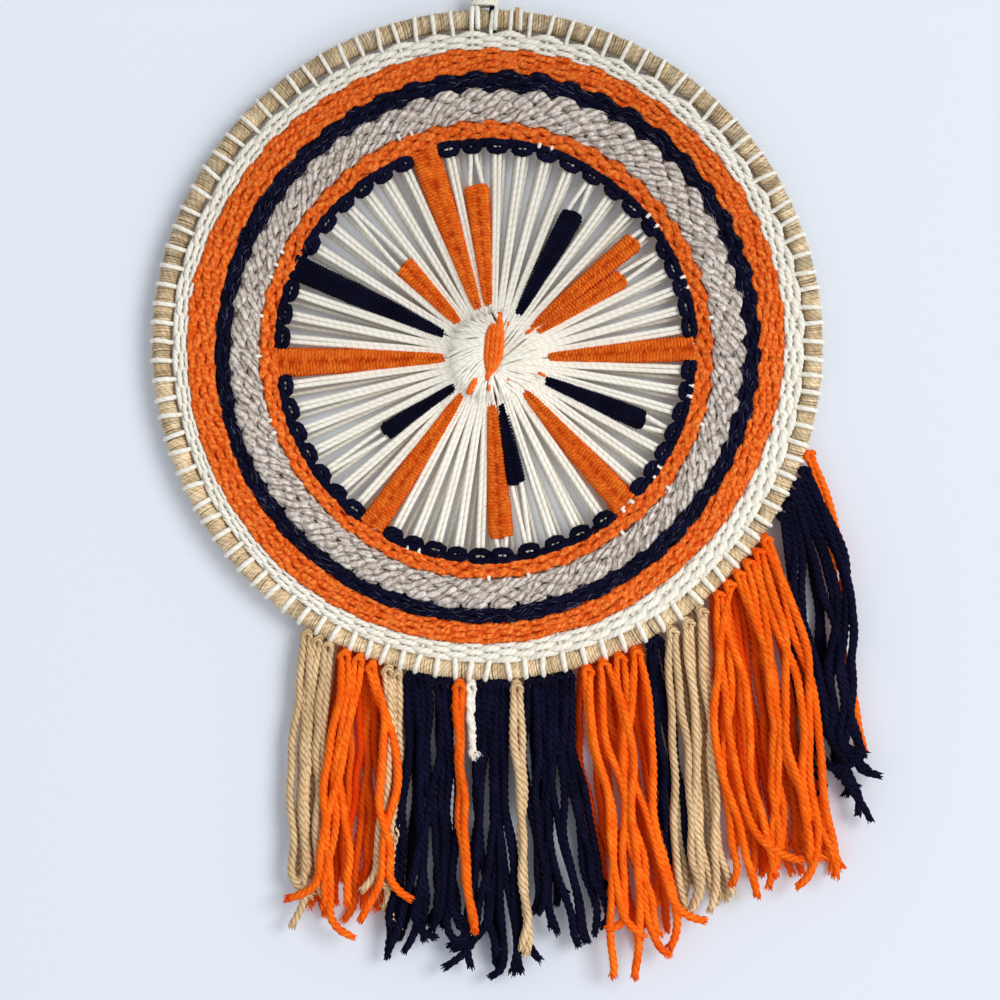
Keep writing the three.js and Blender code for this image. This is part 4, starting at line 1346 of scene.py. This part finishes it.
def groundCloth():
    # the middle of the weaving, between the rows that show on the front and on the back
    shape = bmesh.new()
    angles = threadAngle(np.arange(threadCount * 2) / 2)
    for edge, inset in (("chainOuter", cloth["inset"]), ("orangeOuter", -cloth["inset"])):
        ring = polar(reachAt(edges[edge], angles) + inset, angles, clothMiddle - cloth["forward"])
        corners = [shape.verts.new(point) for point in ring]
        for a, b in zip(corners, corners[1:] + corners[:1]):
            shape.edges.new((a, b))
    bmesh.ops.bridge_loops(shape, edges=shape.edges[:])
    bmesh.ops.recalc_face_normals(shape, faces=shape.faces[:])
    bmesh.ops.solidify(shape, geom=shape.faces[:], thickness=cloth["thickness"])
    bmesh.ops.recalc_face_normals(shape, faces=shape.faces[:])
    return meshFrom(shape, "ground_cloth")


def packedWeftInShade():
    # Weft yarn beaten close: matt, each band painted in a deeper tone of its own colour, as painted shade
    # between the rows.
    material, tree = newMaterial("weft yarn packed in painted shade")
    low, high = edges["chainOuter"]["radius"], edges["orangeOuter"]["radius"]
    where = addNode(tree, "ShaderNodeTexCoord")
    reach = addNode(tree, "ShaderNodeVectorMath", {0: where.outputs["Object"], 1: hoopCentre},
                    operation="DISTANCE")
    share = addNode(tree, "ShaderNodeMapRange", {0: reach.outputs["Value"], 1: low * mm, 2: high * mm})
    ramp = addNode(tree, "ShaderNodeValToRGB", {0: share})
    ramp.color_ramp.interpolation = "CONSTANT"
    stops = ramp.color_ramp.elements
    stops.remove(stops[1])
    for index, (edge, colour) in enumerate(cloth["colours"].items()):
        stop = stops.new((edges[edge]["radius"] - low) / (high - low)) if index else stops[0]
        stop.color = linear(colour)
    shader = addNode(tree, "ShaderNodeBsdfDiffuse", {"Color": ramp, "Roughness": 1.0})
    addNode(tree, "ShaderNodeOutputMaterial", {"Surface": shader})
    return material


clothPiece = keepPiece("ground_cloth", groundCloth(), packedWeftInShade())


print("stage: hanging knot")
knot = {"radius": 1.35, "turns": 2.4, "points": 60, "right": -1.6, "wide": 5.3, "deep": 3.3, "low": 1.6,
        "high": 6.2, "tilt": 0.4, "lead": 7}
# Strands tied round the hoop beside the knot: mm right of the hoop's middle, lean, radius.
cordTies = [(-6.4, 0.7, 1.2), (-4.7, -0.5, 1.25), (4.2, 0.9, 1.3), (15.0, 0.5, 1.15)]
# The ends of other yarns tied in between them, and how far each comes down the front, in degrees.
endTies = {"navy": (2.2, 0.5, 1.3, 55), "tan": (13.2, 0.2, 1.0, 150)}
tie = {"lead": 9, "points": 19, "around": 150, "bedded": 0.8}


def knotCoil():
    # the cord wound round the feet of its own loop
    along = np.linspace(0, 1, knot["points"])
    turn = 2 * math.pi * knot["turns"] * along
    x = knot["right"] + knot["wide"] * np.cos(turn)
    y = -knot["deep"] * np.sin(turn)
    z = hoop["rim"] + knot["low"] + (knot["high"] - knot["low"]) * along + knot["tilt"] * np.sin(turn)
    return yarnLine(np.stack([x, y, z], axis=1), knot["radius"])


def tieAcross(across, lean, radius, front=tie["around"]):
    # a strand over the hoop and down its back; front is how far it comes down the front, in degrees
    turn = np.radians(np.linspace(-front, tie["around"], tie["points"]))
    ride = hoop["tube"] + radius * tie["bedded"]
    x = across + lean * np.sin(turn / 2)
    z = np.sqrt((hoop["radius"] + ride * np.cos(turn)) ** 2 - x ** 2)
    return yarnLine(np.stack([x, ride * np.sin(turn), z], axis=1), radius)


knotPiece = yarnPiece("tied_cord", [knotCoil(), *[tieAcross(*row) for row in cordTies]], creamWeft,
                      "cream_cotton", ["hanging_knot"], plies=3, perPly=3, groove=0.18,
                      lead=knot["lead"], seed=81)
for index, (yarn, row) in enumerate(endTies.items()):
    material, slot = yarnLooks[yarn]
    yarnPiece(f"tied_{yarn}", [tieAcross(*row)], material, slot, plies=4, perPly=2, groove=0.2,
              lead=tie["lead"], seed=82 + index)


print("stage: backdrop and light")
studio = {
    "wall": "#E1E7F0",
    "wallDepth": 9,
    "wallHalf": 3000,
    "sky": "#F2F5FA",
    "skyLight": 0.66,     # on the object
    "skySeen": 0.9,       # behind it
}
lamps = [
    {"name": "key", "place": (2.2, -3.0, 0.6), "size": 2.0, "power": 82, "colour": "#FFFDF8"},
    {"name": "fill", "place": (0.9, -1.3, -1.2), "size": 1.0, "power": 4.5, "colour": "#FFFBF4"},
    {"name": "rear", "place": (-0.5, 1.6, -0.5), "size": 1.2, "power": 7, "colour": "#FFE2C4"},
]


def makeWall():
    # painted plaster: matt and even; seen from behind, it lets the back of the object show
    material, tree = newMaterial("painted plaster wall")
    paint = addNode(tree, "ShaderNodeBsdfDiffuse", {"Color": linear(studio["wall"]), "Roughness": 0.5})
    clear = addNode(tree, "ShaderNodeBsdfTransparent")
    side = addNode(tree, "ShaderNodeNewGeometry")
    shown = addNode(tree, "ShaderNodeMixShader",
                    {0: side.outputs["Backfacing"], 1: paint, 2: clear})
    addNode(tree, "ShaderNodeOutputMaterial", {"Surface": shown})
    shape = bmesh.new()
    half = studio["wallHalf"]
    shape.faces.new([shape.verts.new((x, studio["wallDepth"], z))
                     for x, z in ((-half, -half), (half, -half), (half, half), (-half, half))])
    mesh = meshFrom(shape, "wall")
    mesh.materials.append(material)
    wall = addObject("wall", mesh)
    wall.visible_shadow = False


def addLamp(lamp):
    light = bpy.data.lights.new(lamp["name"], "AREA")
    light.shape = "DISK"
    light.size = lamp["size"]
    light.energy = lamp["power"]
    light.color = linear(lamp["colour"])[:3]
    holder = addObject(lamp["name"], light)
    holder.location = lamp["place"]
    holder.rotation_euler = (hoopCentre - holder.location).to_track_quat("-Z", "Y").to_euler()


def makeSky():
    world = bpy.data.worlds.new("studio")
    world.use_nodes = True
    tree = world.node_tree
    tree.nodes.clear()
    paths = addNode(tree, "ShaderNodeLightPath")
    seen = addNode(tree, "ShaderNodeMath",
                   {0: paths.outputs["Is Camera Ray"], 1: paths.outputs["Is Glossy Ray"]},
                   operation="MAXIMUM")
    seen = addNode(tree, "ShaderNodeMath", {0: seen, 1: paths.outputs["Is Transmission Ray"]},
                   operation="MAXIMUM")
    strength = addNode(tree, "ShaderNodeMapRange",
                       {0: seen, 1: 0.0, 2: 1.0, 3: studio["skyLight"], 4: studio["skySeen"]})
    sky = addNode(tree, "ShaderNodeBackground",
                  {"Color": linear(studio["sky"]), "Strength": strength})
    addNode(tree, "ShaderNodeOutputWorld", {"Surface": sky})
    bpy.context.scene.world = world


makeWall()
for lamp in lamps:
    addLamp(lamp)
makeSky()
bpy.context.scene.view_settings.view_transform = "Standard"
